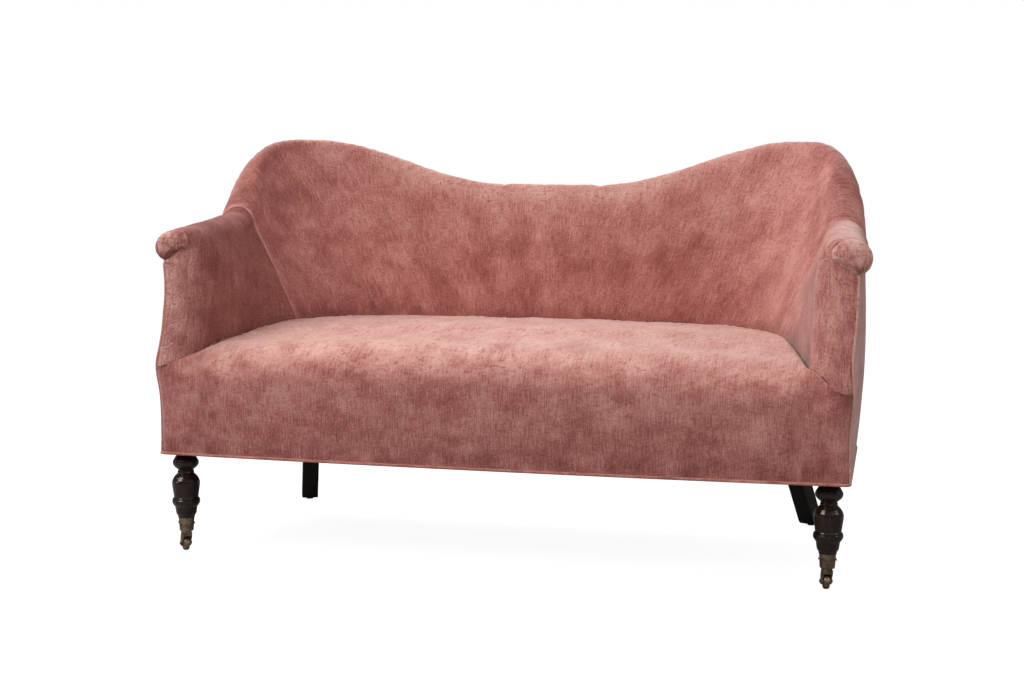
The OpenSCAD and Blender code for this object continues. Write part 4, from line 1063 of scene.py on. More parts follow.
@dataclass(frozen=True)
class CrushedVelvet:
    """Viscose velvet, crushed and slightly ribbed: a short pile that lies in patches and shines at grazing angles."""

    name: str
    dark: str
    middle: str
    light: str
    # worn is the colour of rubbed pile and of painted sheen; creased is the colour of painted shade.
    wear_and_sheen: str = "#e0b3a6"
    painted_shade_colour: str = "#5c342e"
    streak_w: float = 0.0019
    streak_l: float = 0.032
    weft_w: float = 0.014
    weft_l: float = 0.0017
    fleck: float = 0.0034
    patch: float = 0.055
    dent_w: float = 0.011
    dent_l: float = 0.0050
    sheen: float = 0.70
    sheen_tint: str = "#f7e2da"
    streak_part: float = 0.36
    weft_part: float = 0.18
    fleck_part: float = 0.26
    patch_part: float = 0.24
    spread: float = 0.105
    dent_from: float = 0.52
    dent_full: float = 0.70
    height_parts: tuple = (0.5, 0.6, 1.4, -0.5)

    def material(self) -> bpy.types.Material:
        """Returns the velvet: how the pile lies, in colour and in bump.

        The lay is a sum of noises: warp streaks, short weft marks, crushed flecks and broad patches. The piece's
        "rub" map raises it for rubbed pile and painted highlights, and lowers it for painted shade. Where it is raised,
        the pile also has small dents.
        The threads are 0.3 mm apart in truth. The streaks are drawn 1.9 mm wide, so that they still show.

        Returns:
            The finished material.
        """
        material, tree, shader = blank(self.name)
        uv = add(tree, "ShaderNodeUVMap", uv_map="cloth").outputs["UV"]
        rub = add(tree, "ShaderNodeSeparateXYZ", {0: add(tree, "ShaderNodeUVMap", uv_map="rub").outputs["UV"]})
        marks = []
        for size, detail, warp in (((self.streak_w, self.streak_l), 3.0, 0.0), ((self.weft_w, self.weft_l), 2.0, 0.0),
                                   ((self.fleck, self.fleck * 1.6), 4.0, 0.3), ((self.patch, self.patch), 4.0, 0.5),
                                   ((self.dent_w, self.dent_l), 3.0, 0.9)):
            place = add(tree, "ShaderNodeMapping", {"Vector": uv, "Scale": (1 / size[0], 1 / size[1], 1)})
            noise = add(tree, "ShaderNodeTexNoise", {"Vector": place.outputs[0], "Scale": 1.0, "Detail": detail,
                                                     "Roughness": 0.6, "Distortion": warp})
            marks.append(noise.outputs["Fac"])
        streak, weft, fleck, patch, dent = marks
        lay = weighted(tree, [(streak, self.streak_part), (weft, self.weft_part), (fleck, self.fleck_part),
                              (patch, self.patch_part)])
        spread = add(tree, "ShaderNodeMapRange", {"Value": lay, "From Min": 0.5 - self.spread,
                                                  "From Max": 0.5 + self.spread}, clamp=False)
        dented = add(tree, "ShaderNodeMapRange", {"Value": dent, "From Min": self.dent_from,
                                                  "From Max": self.dent_full})
        dented = add(tree, "ShaderNodeMath", {0: dented.outputs[0], 1: rub.outputs["X"]}, operation="MULTIPLY")
        # The map's first part adds rubbed pile and painted highlight; its second part takes away painted shade.
        state = weighted(tree, [(spread.outputs[0], 1.0), (rub.outputs["X"], 1.0), (rub.outputs["Y"], -1.0),
                                (dented.outputs[0], -1.0)])
        place = add(tree, "ShaderNodeMapRange", {"Value": state, "From Min": -1.0, "From Max": 2.0})
        colour = ramp(tree, place.outputs[0], [(0.0, self.painted_shade_colour), (0.333, self.dark), (0.5, self.middle),
                                               (0.667, self.light), (1.0, self.wear_and_sheen)])
        height = weighted(tree, zip((streak, fleck, patch, dented.outputs[0]), self.height_parts))
        bump = add(tree, "ShaderNodeBump", {"Height": height, "Strength": 0.6, "Distance": 0.0022})
        feed(tree, shader, {"Base Color": colour, "Normal": bump.outputs[0], "Roughness": 0.85,
                            "Specular IOR Level": 0.15, "Sheen Weight": self.sheen, "Sheen Roughness": 0.45,
                            "Sheen Tint": linear(self.sheen_tint)})
        return material


@dataclass(frozen=True)
class GrainedWood:
    """Timber with long grain, from sawn beech to polished walnut."""

    name: str
    dark: str
    light: str
    roughness: float
    coat: float
    grain: float = 0.0035
    grain_l: float = 0.080

    def material(self) -> bpy.types.Material:
        """Returns the wood: grain lines along the height, with pores, under a coat of polish.

        Returns:
            The finished material.
        """
        material, tree, shader = blank(self.name)
        place = add(tree, "ShaderNodeTexCoord").outputs["Object"]
        along = add(tree, "ShaderNodeMapping",
                    {"Vector": place, "Scale": (1 / self.grain, 1 / self.grain, 1 / self.grain_l)})
        grain = add(tree, "ShaderNodeTexNoise",
                    {"Vector": along.outputs[0], "Scale": 1.0, "Detail": 4.0, "Roughness": 0.6, "Distortion": 0.4})
        colour = ramp(tree, grain.outputs["Fac"], [(0.35, self.dark), (0.68, self.light)])
        bump = add(tree, "ShaderNodeBump", {"Height": grain.outputs["Fac"], "Strength": 0.05, "Distance": 0.0003})
        rough = add(tree, "ShaderNodeMapRange", {"Value": grain.outputs["Fac"], "To Min": self.roughness,
                                                 "To Max": self.roughness + 0.12})
        feed(tree, shader, {"Base Color": colour, "Normal": bump.outputs[0], "Roughness": rough.outputs[0],
                            "Specular IOR Level": 0.3, "Coat Weight": self.coat, "Coat Roughness": 0.12})
        return material


@dataclass(frozen=True)
class WornMetal:
    """Metal with tarnish in patches: antique brass, or plain steel."""

    name: str
    bright: str
    tarnish: str
    roughness: float
    patch: float = 0.006

    def material(self) -> bpy.types.Material:
        """Returns the metal: cloudy tarnish in colour and in roughness, with fine scratches.

        Returns:
            The finished material.
        """
        material, tree, shader = blank(self.name)
        place = add(tree, "ShaderNodeTexCoord").outputs["Object"]
        cloud = add(tree, "ShaderNodeTexNoise",
                    {"Vector": place, "Scale": 1 / self.patch, "Detail": 4.0, "Roughness": 0.65})
        colour = ramp(tree, cloud.outputs["Fac"], [(0.38, self.tarnish), (0.62, self.bright)])
        rough = add(tree, "ShaderNodeMapRange", {"Value": cloud.outputs["Fac"], "From Min": 0.3, "From Max": 0.7,
                                                 "To Min": self.roughness + 0.15, "To Max": self.roughness})
        bump = add(tree, "ShaderNodeBump", {"Height": cloud.outputs["Fac"], "Strength": 0.1, "Distance": 0.0002})
        feed(tree, shader, {"Base Color": colour, "Normal": bump.outputs[0], "Roughness": rough.outputs[0],
                            "Metallic": 1.0})
        return material


@dataclass(frozen=True)
class WovenCloth:
    """Plain cloth seen close: jute webbing, hessian, black cambric or loose stuffing hair."""

    name: str
    dark: str
    light: str
    thread: float
    roughness: float = 0.9

    def material(self) -> bpy.types.Material:
        """Returns the cloth: two crossing sets of threads as sine waves, darker between the threads.

        Returns:
            The finished material.
        """
        material, tree, shader = blank(self.name)
        place = add(tree, "ShaderNodeTexCoord").outputs["Object"]
        parts = add(tree, "ShaderNodeSeparateXYZ", {0: place})
        waves = []
        for axis in ("X", "Y"):
            turned = add(tree, "ShaderNodeMath", {0: parts.outputs[axis], 1: 2 * np.pi / self.thread},
                         operation="MULTIPLY")
            waves.append(add(tree, "ShaderNodeMath", {0: turned.outputs[0]}, operation="SINE").outputs[0])
        fibre = add(tree, "ShaderNodeTexNoise", {"Vector": place, "Scale": 0.6 / self.thread, "Detail": 3.0})
        weave = weighted(tree, [(waves[0], 0.18), (waves[1], 0.18), (fibre.outputs["Fac"], 1.0)])
        colour = ramp(tree, weave, [(0.2, self.dark), (0.8, self.light)])
        bump = add(tree, "ShaderNodeBump", {"Height": weave, "Strength": 0.6, "Distance": self.thread / 4})
        feed(tree, shader, {"Base Color": colour, "Normal": bump.outputs[0], "Roughness": self.roughness})
        return material


class Finishes:
    """Every finish on the sofa, made once."""

    def __init__(self) -> None:
        """Makes the materials."""
        self.velvet = CrushedVelvet("velvet_rose", "#814841", "#a6625a", "#c4877d").material()
        # The left arm's velvet is a darker copy with little sheen: painted shade on the left arm's pieces.
        self.arm_velvet = {
            Side.LEFT: CrushedVelvet("velvet_rose_nap_away", "#79443e", "#945850", "#ae736a", sheen=0.16).material(),
            Side.RIGHT: self.velvet}
        self.walnut = GrainedWood("walnut_polished", "#120904", "#321b0d", 0.20, 0.7).material()
        # The back legs' walnut is an unpolished copy, darker as painted shade.
        self.walnut_plain = GrainedWood("walnut_plain", "#0d0703", "#1e1109", 0.5, 0.0).material()
        self.beech = GrainedWood("beech_sawn", "#b08a5a", "#d2ad7c", 0.6, 0.0, grain=0.002).material()
        self.brass = WornMetal("brass_antique", "#bfa58c", "#78624f", 0.34, patch=0.014).material()
        self.steel = WornMetal("steel_plain", "#a4a6a8", "#6c6e70", 0.35, patch=0.010).material()
        self.jute = WovenCloth("jute_webbing", "#7d6540", "#b99c69", 0.0022).material()
        self.hair = WovenCloth("stuffing_hair", "#a3977f", "#dcd2be", 0.0040).material()
        self.cambric = WovenCloth("cambric_black", "#131214", "#29282b", 0.0009).material()


def dress(piece: bpy.types.Object, material: bpy.types.Material, slot: str, *nodes: str) -> bpy.types.Object:
    """Gives a new piece its finish and its body, and hides the frame's nodes that it stands for.

    Args:
        piece: The new piece.
        material: Its finish.
        slot: Not used. The name of its slot.
        nodes: The frame's nodes that it stands for.

    Returns:
        The piece.
    """
    piece.data.materials.append(material)
    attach(piece, "sofa")
    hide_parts(*nodes)
    LOG.info("%s: %d faces", piece.name, len(piece.data.polygons))
    return piece


def border_hold(shape: tuple, lengths: tuple, reach: float) -> np.ndarray:
    """Returns how firmly a cover is held: 1 at its borders, falling straight to 0 over a reach inside them.

    Args:
        shape: Columns and rows of the cover's grid.
        lengths: The lengths run along both directions, in metres.
        reach: How far the hold reaches in.

    Returns:
        One value per point.
    """
    near = np.full(shape, np.inf)
    for run, axis in zip(lengths, (0, 1)):
        end = np.take(run, [-1], axis=axis)
        near = np.minimum(near, np.minimum(run, end - run))
    return held(1 - near / reach)


@dataclass
class Cover:
    """A velvet cover: its grid, its cloth coordinates, and how it is finished into a closed piece."""

    name: str
    grid: np.ndarray
    seed: int
    uneven: float = 0.0007
    edge_in: float = 0.0009
    edge_reach: float = 0.004
    rounded: tuple = (True, True, True, True)
    painted_shade: Values = 0.0
    wear_and_highlight: Values = 0.0
    pile: np.ndarray | None = None
    hem: str = ""
    hem_in: float = 0.0031
    hem_down: float = 0.0045
    hem_rows: int = 4
    hem_t: float = 0.1 * MM
    waves: tuple = (0.050, 0.160)
    waves_fade: float = 0.015
    hold_reach: float = 0.030
    cloth_step: float = 3.7
    runs: tuple = field(init=False)

    def __post_init__(self) -> None:
        """Measures the cloth along both directions of the grid."""
        middle = self.grid[:, self.grid.shape[1] // 2:self.grid.shape[1] // 2 + 1]
        across = np.broadcast_to(lengths_along(middle, 0), self.grid.shape[:2])
        self.runs = (across, lengths_along(self.grid, 1))

    def ends(self) -> tuple:
        """Returns the distances from the first and last column and from the first and last row."""
        across, up = self.runs
        return across, across[-1:] - across, up, up[:, -1:] - up

    def settle(self, run: ClothRun) -> None:
        """Args:
            run: The cloth run's settings.
        """
        hold = border_hold(self.grid.shape[:2], self.runs, self.hold_reach)
        self.grid = run.settle(self.grid, hold)

    def soften(self) -> None:
        """Adds gentle unevenness along the normals, and rounds the borders in over their last few millimetres.

        The unevenness is a sum of waves that fades at the borders, so that two covers still meet at their seam. A
        border point drops by edge_in times the square of its share of the reach.
        """
        inside = np.minimum.reduce(np.broadcast_arrays(*self.ends()))
        lift = self.uneven * ripples(*self.runs, self.seed, *self.waves) * ease(inside / self.waves_fade)
        for run, on in zip(self.ends(), self.rounded):
            if on:
                lift = lift - self.edge_in * held(1 - run / self.edge_reach) ** 2
        self.grid = self.grid + grid_normals(self.grid) * lift[..., None]

    def lay(self, light_and_tone: np.ndarray) -> None:
        """Sets the painted light and tone: rubbed pile and painted highlight by the value where it is above 0, and
        painted shade where it is below.
        """
        self.wear_and_highlight, self.painted_shade = held(light_and_tone), held(-light_and_tone)

    def rub(self) -> np.ndarray:
        """Returns how much rubbed pile and painted highlight, and how much painted shade, there is at every point."""
        return np.stack([np.broadcast_to(part, self.grid.shape[:2]) for part in (self.wear_and_highlight, self.painted_shade)], axis=-1)

    def piece(self, thickness: float) -> bpy.types.Object:
        """Returns the closed piece: the cover and a copy one thickness inside it.

        A hem turns in behind the piping as a quarter ellipse and thins out there. Each cover's cloth coordinates
        start at a place of their own, so that no two look alike.

        Args:
            thickness: How thick the cover is.

        Returns:
            The closed piece.
        """
        normal = grid_normals(self.grid)
        along = self.runs[1] if self.pile is None else self.pile
        cloth, rub = np.stack([self.runs[0] + self.cloth_step * self.seed, along], axis=-1), self.rub()
        lower = self.grid - normal * thickness
        grid = self.grid
        if self.hem:
            at, order = (0, slice(None, None, -1)) if self.hem == "first" else (-1, slice(None))
            g = np.linspace(0, np.pi / 2, self.hem_rows + 1)[1:][order][None, :, None]
            inward, down = -normal[:, at][:, None], self.hem_down
            turned = grid[:, at][:, None] + inward * self.hem_in * (1 - np.cos(g))
            turned = turned - np.array([0, 0, 1]) * down * np.sin(g)
            thin = turned + inward * mix(thickness, self.hem_t, np.sin(g))
            wear_and_sheen = np.repeat(rub[:, at][:, None], self.hem_rows, axis=1)
            spread = np.repeat(cloth[:, at][:, None], self.hem_rows, axis=1) - np.array([0, 1]) * down * np.sin(g)
            more = (turned, thin, spread, wear_and_sheen)
            parts = zip(more, (grid, lower, cloth, rub))
            grid, lower, cloth, rub = (np.concatenate([m, w] if at == 0 else [w, m], axis=1) for m, w in parts)
        return slab(self.name, grid, lower, {"cloth": cloth, "rub": rub})


def stuff(name: str, upper: np.ndarray, lower: np.ndarray, look: Finishes, node: str) -> None:
    """Makes a piece of stuffing between two grids, in place of one of the frame's pads."""
    dress(slab(name, upper, lower), look.hair, "stuffing", node)


@dataclass
class Seat:
    """The tight seat: its velvet cover and the stuffing under it.

    mottle is how strong the bent waves are everywhere, more on the flat top, and more where the top turns over.
    mottle_stretch is how much they are stretched across and along. sides is where the seat's sides start and how far
    they reach, and the two pairs of the painted shade in the back border's fold have the middle's value before the
    sides'.
    """

    s: SofaSizes
    form: SeatForm
    look: Finishes
    tuck_reach: float = 0.014
    tuck_down: float = 0.006
    tuck_fade: float = 0.010
    long_waves: float = 0.30
    border_h: float = 0.110
    border_painted_shade: float = 0.28
    edge_lie: float = 0.17
    top_painted_sheen: float = 0.50
    broad_lie: float = 0.13
    mottle: tuple = (0.10, 0.10, 0.6)
    mottle_stretch: tuple = (0.45, 1.6)
    flat_power: float = 1.5
    sides: tuple = (0.40, 0.15)
    crease_painted_shade: tuple = (0.25, 0.85)
    crease_reach: tuple = (0.012, 0.026)

    def surface(self) -> np.ndarray:
        """Returns the cover's outside, with its back border tucked down into the crease as a parabola.

        Returns:
            Points as columns by rows by 3.
        """
        grid = self.form.surface()
        up = lengths_along(grid, 1)
        left = up[:, -1:] - up
        wide = held((self.s.seat_x - np.abs(grid[..., 0])) / self.tuck_fade)
        grid[..., 2] -= self.tuck_down * held(1 - left / self.tuck_reach) ** 2 * wide
        return grid

    def build(self) -> None:
        """Makes the cover and the stuffing.

        The colour is lighter on the flat top, as a painted sheen, and darker on the low border, as painted shade. It is
        mottled by bent waves, most of all where the top turns over, and painted shade darkens the fold at the back
        border, more and wider at the sides.
        """
        cover = Cover("seat_velvet", self.surface(), seed=1, uneven=0.0011, rounded=(False, False, False, True),
                      hem="first")
        cover.settle(ClothRun(pressure=3.0, most=0.004))
        cover.soften()
        up, across = grid_normals(cover.grid)[..., 2], cover.runs[0]
        low = held(1 - (cover.grid[..., 2] - self.s.box_z) / self.border_h)
        flat = held(up) ** self.flat_power
        even, top, bend = self.mottle
        mottle = even + top * flat + bend * flat * (1 - flat)
        step = np.diff(cover.runs[1], axis=1) * mix(1.0, self.long_waves, 0.5 * (flat[:, 1:] + flat[:, :-1]))
        cover.pile = np.concatenate([0 * across[:, :1], np.cumsum(step, axis=1)], axis=1)
        broad = self.broad_lie * ripples(*cover.runs, seed=31, short=0.09, long=0.30)
        # Painted sheen: the top is lighter where it faces up; the broad patches are random tone.
        light_and_tone = self.edge_lie + self.top_painted_sheen * flat + broad * (1 - low)
        wide, long = self.mottle_stretch
        light_and_tone = light_and_tone + mottle * ripples(wide * across, long * cover.pile, seed=34, short=0.014, long=0.06, waves=18)
        # Painted shade: the low border is darker towards its foot.
        light_and_tone = light_and_tone - self.border_painted_shade * low * (1 + 0.8 * ripples(*cover.runs, seed=32, short=0.03, long=0.12))
        side = held((np.abs(cover.grid[..., 0]) - self.sides[0]) / self.sides[1])
        # Painted shade in the fold along the back border, more and wider at the sides.
        light_and_tone = light_and_tone - mix(*self.crease_painted_shade, side) * np.exp(-cover.ends()[3] / mix(*self.crease_reach, side))
        cover.lay(light_and_tone)
        piece = dress(cover.piece(self.s.cover_t), self.look.velvet, "velvet", "seat_cover")
        self.stuffing()

    def stuffing(self) -> None:
        """Makes the seat's stuffing: the seat's own crown above, and flat on the hessian below."""
        s = self.s
        grid = self.form.surface(across=30, lobe=4, front=8, edge=6, top=14)[4:-4, 6:]
        upper = grid - grid_normals(grid) * (s.skin + s.pad_under)
        lower = upper.copy()
        lower[..., 1] = np.maximum(lower[..., 1], s.front_y + s.skin)
        lower[..., 2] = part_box("seat_pad")[0][2]
        stuff("seat_stuffing", upper, lower, self.look, "seat_pad")


@dataclass
class InsideBack:
    """The inside back: its velvet cover over the rounded top, and its stuffing.

    The pairs in x and z are where a step starts and how far it runs.
    """

    s: SofaSizes
    wall: WallForm
    look: Finishes
    columns: int = 241
    face_rows: int = 56
    lap: float = 0.001
    band_painted_sheen: float = 0.95
    band_reach: float = 0.028
    band_ends: float = 0.08
    band_half: float = 0.40
    wing_dark: float = 0.34
    wing_x: float = 0.50
    wing_z: float = 0.58
    wing_run: float = 0.10
    right_painted_light: float = 0.36
    right_x: tuple = (0.22, 0.36)
    right_z: tuple = (0.46, 0.20)
    left_painted_light: float = 0.10
    left_x: tuple = (0.15, 0.25)
    broad_lie: float = 0.17
    seam_wear_and_highlight: float = 0.9
    seam_z: tuple = (0.45, 0.22)
    foot_painted_shade: float = 0.40
    foot_reach: float = 0.035

    def shares(self, count: int) -> np.ndarray:
        """Returns the columns' shares, from the left seam to the right one."""
        end = self.wall.seam + self.lap / self.wall.top.length
        return np.linspace(-end, end, count)

    def signed(self, f: np.ndarray, grid: np.ndarray) -> np.ndarray:
        """Returns the grid with the columns of negative shares mirrored to the left."""
        return grid * np.stack([np.where(f < 0, -1.0, 1.0), np.ones_like(f), np.ones_like(f)], axis=-1)[:, None]

    def build(self) -> None:
        """Makes the cover and the stuffing.

        A painted sheen lightens a band along the top edge, more in the middle of the sofa, and painted light lightens
        the right side and a little of the left. The wings are darker, painted shade darkens the fold above the seat,
        and a line
        down the left seam is pale: rubbed pile with a painted highlight.
        """
        f, faces = self.shares(self.columns), self.face_rows
        grid = self.signed(f, self.wall.inside(np.abs(f), faces, np.linspace(0, 180 + self.s.under_angle, 36)[1:]))
        cover = Cover("back_velvet", grid, seed=2, rounded=(False, False, False, True))
        cover.settle(ClothRun(pressure=3.0, most=0.004))
        cover.soften()
        across, up = cover.runs
        x, z = cover.grid[..., 0], cover.grid[..., 2]
        # Painted sheen: a pale band along the top edge, strongest in the middle of the sofa.
        edge = np.exp(-np.abs(up[:, faces + 1:faces + 2] - up) / self.band_reach)
        band = self.band_painted_sheen * edge * mix(self.band_ends, 1, ease(1.35 - np.abs(x) / self.band_half))
        # The wings are darker; painted light lightens the right side, more higher up, and a little of the left.
        wing = ease((np.abs(x) - self.wing_x) / self.wing_run) * held((z - self.wing_z) / self.wing_run)
        right = self.right_painted_light * rising(x, *self.right_x) * mix(0.35, 1, held((z - self.right_z[0]) / self.right_z[1]))
        left = self.left_painted_light * rising(-x, *self.left_x)
        broad = self.broad_lie * ripples(across, up, seed=33, short=0.05, long=0.22)
        light_and_tone = band + (right - self.wing_dark * wing) + left + broad
        # Painted shade in the fold above the seat.
        light_and_tone = light_and_tone - self.foot_painted_shade * np.exp(-up / self.foot_reach)
        cover.lay(light_and_tone)
        # A pale line down the left seam: rubbed pile with a painted highlight on its ridge.
        line = bell(across / PALE_SEAM_LINE) * held((z - self.seam_z[0]) / self.seam_z[1])
        cover.wear_and_highlight = np.maximum(cover.wear_and_highlight, self.seam_wear_and_highlight * line)
        dress(cover.piece(self.s.cover_t), self.look.velvet, "velvet", "back_cover")
        self.stuffing()

    def stuffing(self) -> None:
        """Makes the stuffing between the cover and the webbing."""
        f, t, angles = self.shares(61) * 0.99, np.linspace(0, 1, 12), np.linspace(0, 180, 12)[1:]
        grid = self.signed(f, self.wall.inside(np.abs(f), 12, angles))
        inset = self.s.skin + mix(*self.s.pad_cap, self.wall.armness(np.abs(f)))
        back = np.concatenate([self.wall.pad_back(np.abs(f), t), self.wall.cap(np.abs(f), angles, inset)], axis=1)
        upper = grid - grid_normals(grid) * (self.s.skin + self.s.pad_under)
        stuff("back_stuffing", upper, self.signed(f, back), self.look, "back_pad")


@dataclass
class Arm:
    """One arm: the inside cover with its fold, the front facing, the pleated roll end, the outside and the piping.

    gather_deep, pull_painted_light, front_edge_highlights, rim_painted_shades and face_turns have the right arm's value
    before the left's.
    right_arm_painted_light and left_arm_painted_light are the painted sheen and shade off the roll and on it.
    gather_top and roll_top are the middle and the half width of a bell curve over the rows' angles. Places are across
    and up on the right arm's front, and knob_rings is the knob's profile: shares of its radius, each with how far it
    stands forward.
    """

    s: SofaSizes
    wall: WallForm
    look: Finishes
    side: Side
    pleat_deep: float = 0.0017
    inside_size: tuple = (78, 44, 30)
    column_crowd: float = 1.7
    knob_widen: tuple = (0.84, 0.16)
    roll_narrow: float = 80.0
    knob_at: tuple = (0.6680, 0.6190)
    knob_half: tuple = (0.0385, 0.0345)
    notch_at: tuple = (0.6860, 0.5870)
    knob_rings: tuple = ((0.94, -0.012), (0.97, -0.007), (0.99, -0.002), (0.995, 0.003), (0.965, 0.0085),
                         (0.90, 0.0135), (0.81, 0.0175), (0.69, 0.0208), (0.55, 0.0233), (0.39, 0.0249),
                         (0.22, 0.0257), (0.07, 0.0260))
    knob_r: float = 0.038
    left_flat: float = 0.55
    free_angle: float = 58.0
    free_left: float = 0.35
    free_run: float = 0.22
    ring_count: int = 44
    seam_gap: float = 0.0013
    seam_angle: float = 24.0
    gather_deep: tuple = (0.0012, 0.0003)
    gather_top: tuple = (74.0, 62.0)
    gather_wave: float = 0.0092
    pull_wave: float = 0.021
    front_fade: float = 0.070
    roll_top: tuple = (80.0, 55.0)
    right_arm_painted_light: tuple = (-0.36, 0.58)
    left_arm_painted_light: tuple = (0.02, -0.42)
    broad_lie: float = 0.16
    pull_painted_light: tuple = (0.42, 0.06)
    foot_painted_shade: float = 0.45
    foot_reach: float = 0.030
    front_edge_highlights: tuple = (0.38, 0.26)
    rim_painted_shades: tuple = (0.8, 0.0)
    face_turns: tuple = (0.6, -0.9)
    face_swell: float = 0.0015
    face_foot: float = 0.0012
    face_pleat: float = 0.0012
    pleat_fall: float = 0.035
    foot_fold: float = 0.015
    foot_hollow: float = 0.0016
    stuffing_in: float = 0.0025
    rim_columns: int = 8
    head_rise: float = 1.45
    head_from: float = 0.23
    broad_pleats: int = 13
    fine_pleats: int = 29
    pleat_fade: float = 0.028
    roll_end_painted_light: float = 0.42
    pleat_painted_light: float = 0.6
    uneven_lie: float = 0.34
    high_at: tuple = (0.684, 0.634)
    high_r: float = 0.017
    knob_painted_highlight: float = 0.75
    notch_r: float = 0.016
    notch_painted_shade: float = 0.7
    hollow_painted_shade: float = 0.25
    piping_r: float = 0.0024
    piping_lap: float = 0.3 * MM

    @property
    def left(self) -> float:
        """Returns 1 on the left arm and 0 on the right one."""
        return float(self.side is Side.LEFT)

    @property
    def angles(self) -> np.ndarray:
        """Returns the rows' angles over the roll and under it."""
        return np.linspace(0, 180 + self.s.under_angle, 61)[1:]

    def fold_size(self, faces: int) -> np.ndarray:
        """Returns how far the fold reaches across the arm's front at each row.

        It is the fold's radius up to the roll, wide on the roll's inner side, and narrow over the top and outside.

        Args:
            faces: Rows below the roll.

        Returns:
            Sizes in metres, one per row.
        """
        s = self.s
        t = np.linspace(0, 1, faces)
        low = mix(s.face_fold, s.knob_fold, held((t - self.knob_widen[0]) / self.knob_widen[1]))
        high = mix(s.knob_fold, s.roll_fold, rising(self.angles, self.seam_angle, self.roll_narrow))
        return np.concatenate([low, high])

    def fold(self, end: np.ndarray, faces: int, turns: np.ndarray) -> np.ndarray:
        """Returns the fold from the arm's end on to its front: the first part of a quarter ellipse at every row.

        Args:
            end: The last column of the inside cover.
            faces: Rows below the roll.
            turns: Angles of the fold's columns, in radians.

        Returns:
            The fold's columns by rows by 3.
        """
        turn = np.radians(self.angles)
        zero = np.zeros(faces)
        ahead = np.concatenate([np.stack([zero + 1, zero, zero], -1),
                                np.stack([np.cos(turn), 0 * turn, -np.sin(turn)], -1)])
        size = self.fold_size(faces) / (1 - np.cos(np.radians(self.s.fold_turn)))
        inward = ahead[None] * (size[None] * (1 - np.cos(turns)[:, None]))[..., None]
        forward = np.array([0, self.s.fold_r, 0]) * np.sin(turns)[:, None, None]
        return end[None] + inward - forward

    @property
    def front_edge_highlight(self) -> float:
        """Returns how strong the painted highlight along the arm's front edge is."""
        return mix(*self.front_edge_highlights, self.left)

    @property
    def painted_shade(self) -> float:
        """Returns how dark the painted shade round the rim of the roll's end is: the left one lies smoother."""
        return mix(*self.rim_painted_shades, self.left)

    @property
    def first(self) -> float:
        """Returns the share at which the arm's covers start, just past the seam."""
        return self.wall.seam + self.seam_gap / self.wall.top.length

    def inside_grid(self, columns: int, faces: int, turns: int) -> np.ndarray:
        """Returns the inside cover's grid with its fold, for the right arm.

        Args:
            columns: Columns along the arm, which lie closer together towards its front.
            faces: Rows below the roll.
            turns: Columns on the fold.

        Returns:
            Points as columns by rows by 3.
        """
        f = mix(self.first, self.wall.arm_end, 1 - (1 - np.linspace(0, 1, columns)) ** self.column_crowd)
        rows = self.wall.inside(f, faces, self.angles)
        angles = np.radians(np.linspace(0, self.s.fold_turn, turns + 1)[1:])
        return np.concatenate([rows, self.fold(rows[-1], faces, angles)])

    def fold_edge(self, faces: int = 40) -> tuple:
        """Returns the fold's edge as points, and which of them is where the seam under the roll's end starts."""
        return self.inside_grid(4, faces, 3)[-1], faces + int(np.searchsorted(self.angles, self.seam_angle))

    def seam_ends(self) -> tuple:
        """Returns the two ends of the seam under the roll's end: inside at the fold, and outside at the notch."""
        edge, start = self.fold_edge()
        return edge[start], edge[-1]

    def gathers(self, grid: np.ndarray, faces: int) -> np.ndarray:
        """Returns the wrinkles that the gathers round the roll's end pull into the inside cover, for the right arm.

        They are bent waves along the arm that fade away from its end, strongest inside the roll and on its top.

        Args:
            grid: The inside cover.
            faces: Rows below the roll.

        Returns:
            Heights between about -1 and 1, one per point.
        """
        back = grid[..., 1] - self.s.face_y
        row = np.concatenate([np.linspace(-60, 0, faces), self.angles])[None, :]
        where = bell((row - self.gather_top[0]) / self.gather_top[1])
        bend = 0.006 * np.sin(np.radians(row * 2.3 + 20)) + 0.004 * np.sin(np.radians(row * 5.1))
        wave = np.cos(2 * np.pi * (back + bend) / self.gather_wave) * np.exp(-np.abs(back - 0.004) / 0.016)
        pull = np.cos(2 * np.pi * (back + 2 * bend) / self.pull_wave) * np.exp(-np.abs(back - 0.03) / 0.035)
        return (wave + 1.3 * pull) * where

    def inside(self) -> None:
        """Makes the inside cover, which goes over the roll and round the fold.

        Seen from the front, the right arm is painted pale over the roll, as a painted sheen, and dark below it, as
        painted shade, and the left arm is painted darker over the roll. Both have a painted highlight along the front
        edge.
        """
        name, near = self.side.word, self.side is Side.RIGHT
        grid, faces = self.inside_grid(*self.inside_size), self.inside_size[1]
        pulls = self.gathers(grid, faces)
        grid = grid + grid_normals(grid) * (mix(*self.gather_deep, self.left) * pulls)[..., None]
        cover = Cover(f"{name}_arm_velvet", mirrored(grid, self.side), seed=4 + self.side.value,
                      rounded=(False, False, False, True))
        cover.settle(ClothRun(pressure=2.5, most=0.003))
        cover.soften()
        row = np.concatenate([np.zeros(faces), self.angles])[None, :]
        front = held(1 - cover.ends()[1 if near else 0] / self.front_fade)
        roll = bell((row - self.roll_top[0]) / self.roll_top[1])
        seam = cover.ends()[0 if near else 1]
        # Painted light: near the seam the right arm takes the back's painted light, then a painted sheen over the roll
        # and painted shade below it; the left arm has painted shade over the roll.
        back = 0.36 * mix(0.35, 0.1, held((cover.grid[..., 2] - 0.52) / 0.10)) - 0.08 * roll
        light_and_tone = mix(back, mix(*self.right_arm_painted_light, roll), ease(seam / 0.13)) if near else mix(*self.left_arm_painted_light, roll)
        uneven = self.broad_lie * ripples(*cover.runs, seed=35 + self.side.value, short=0.03, long=0.16)
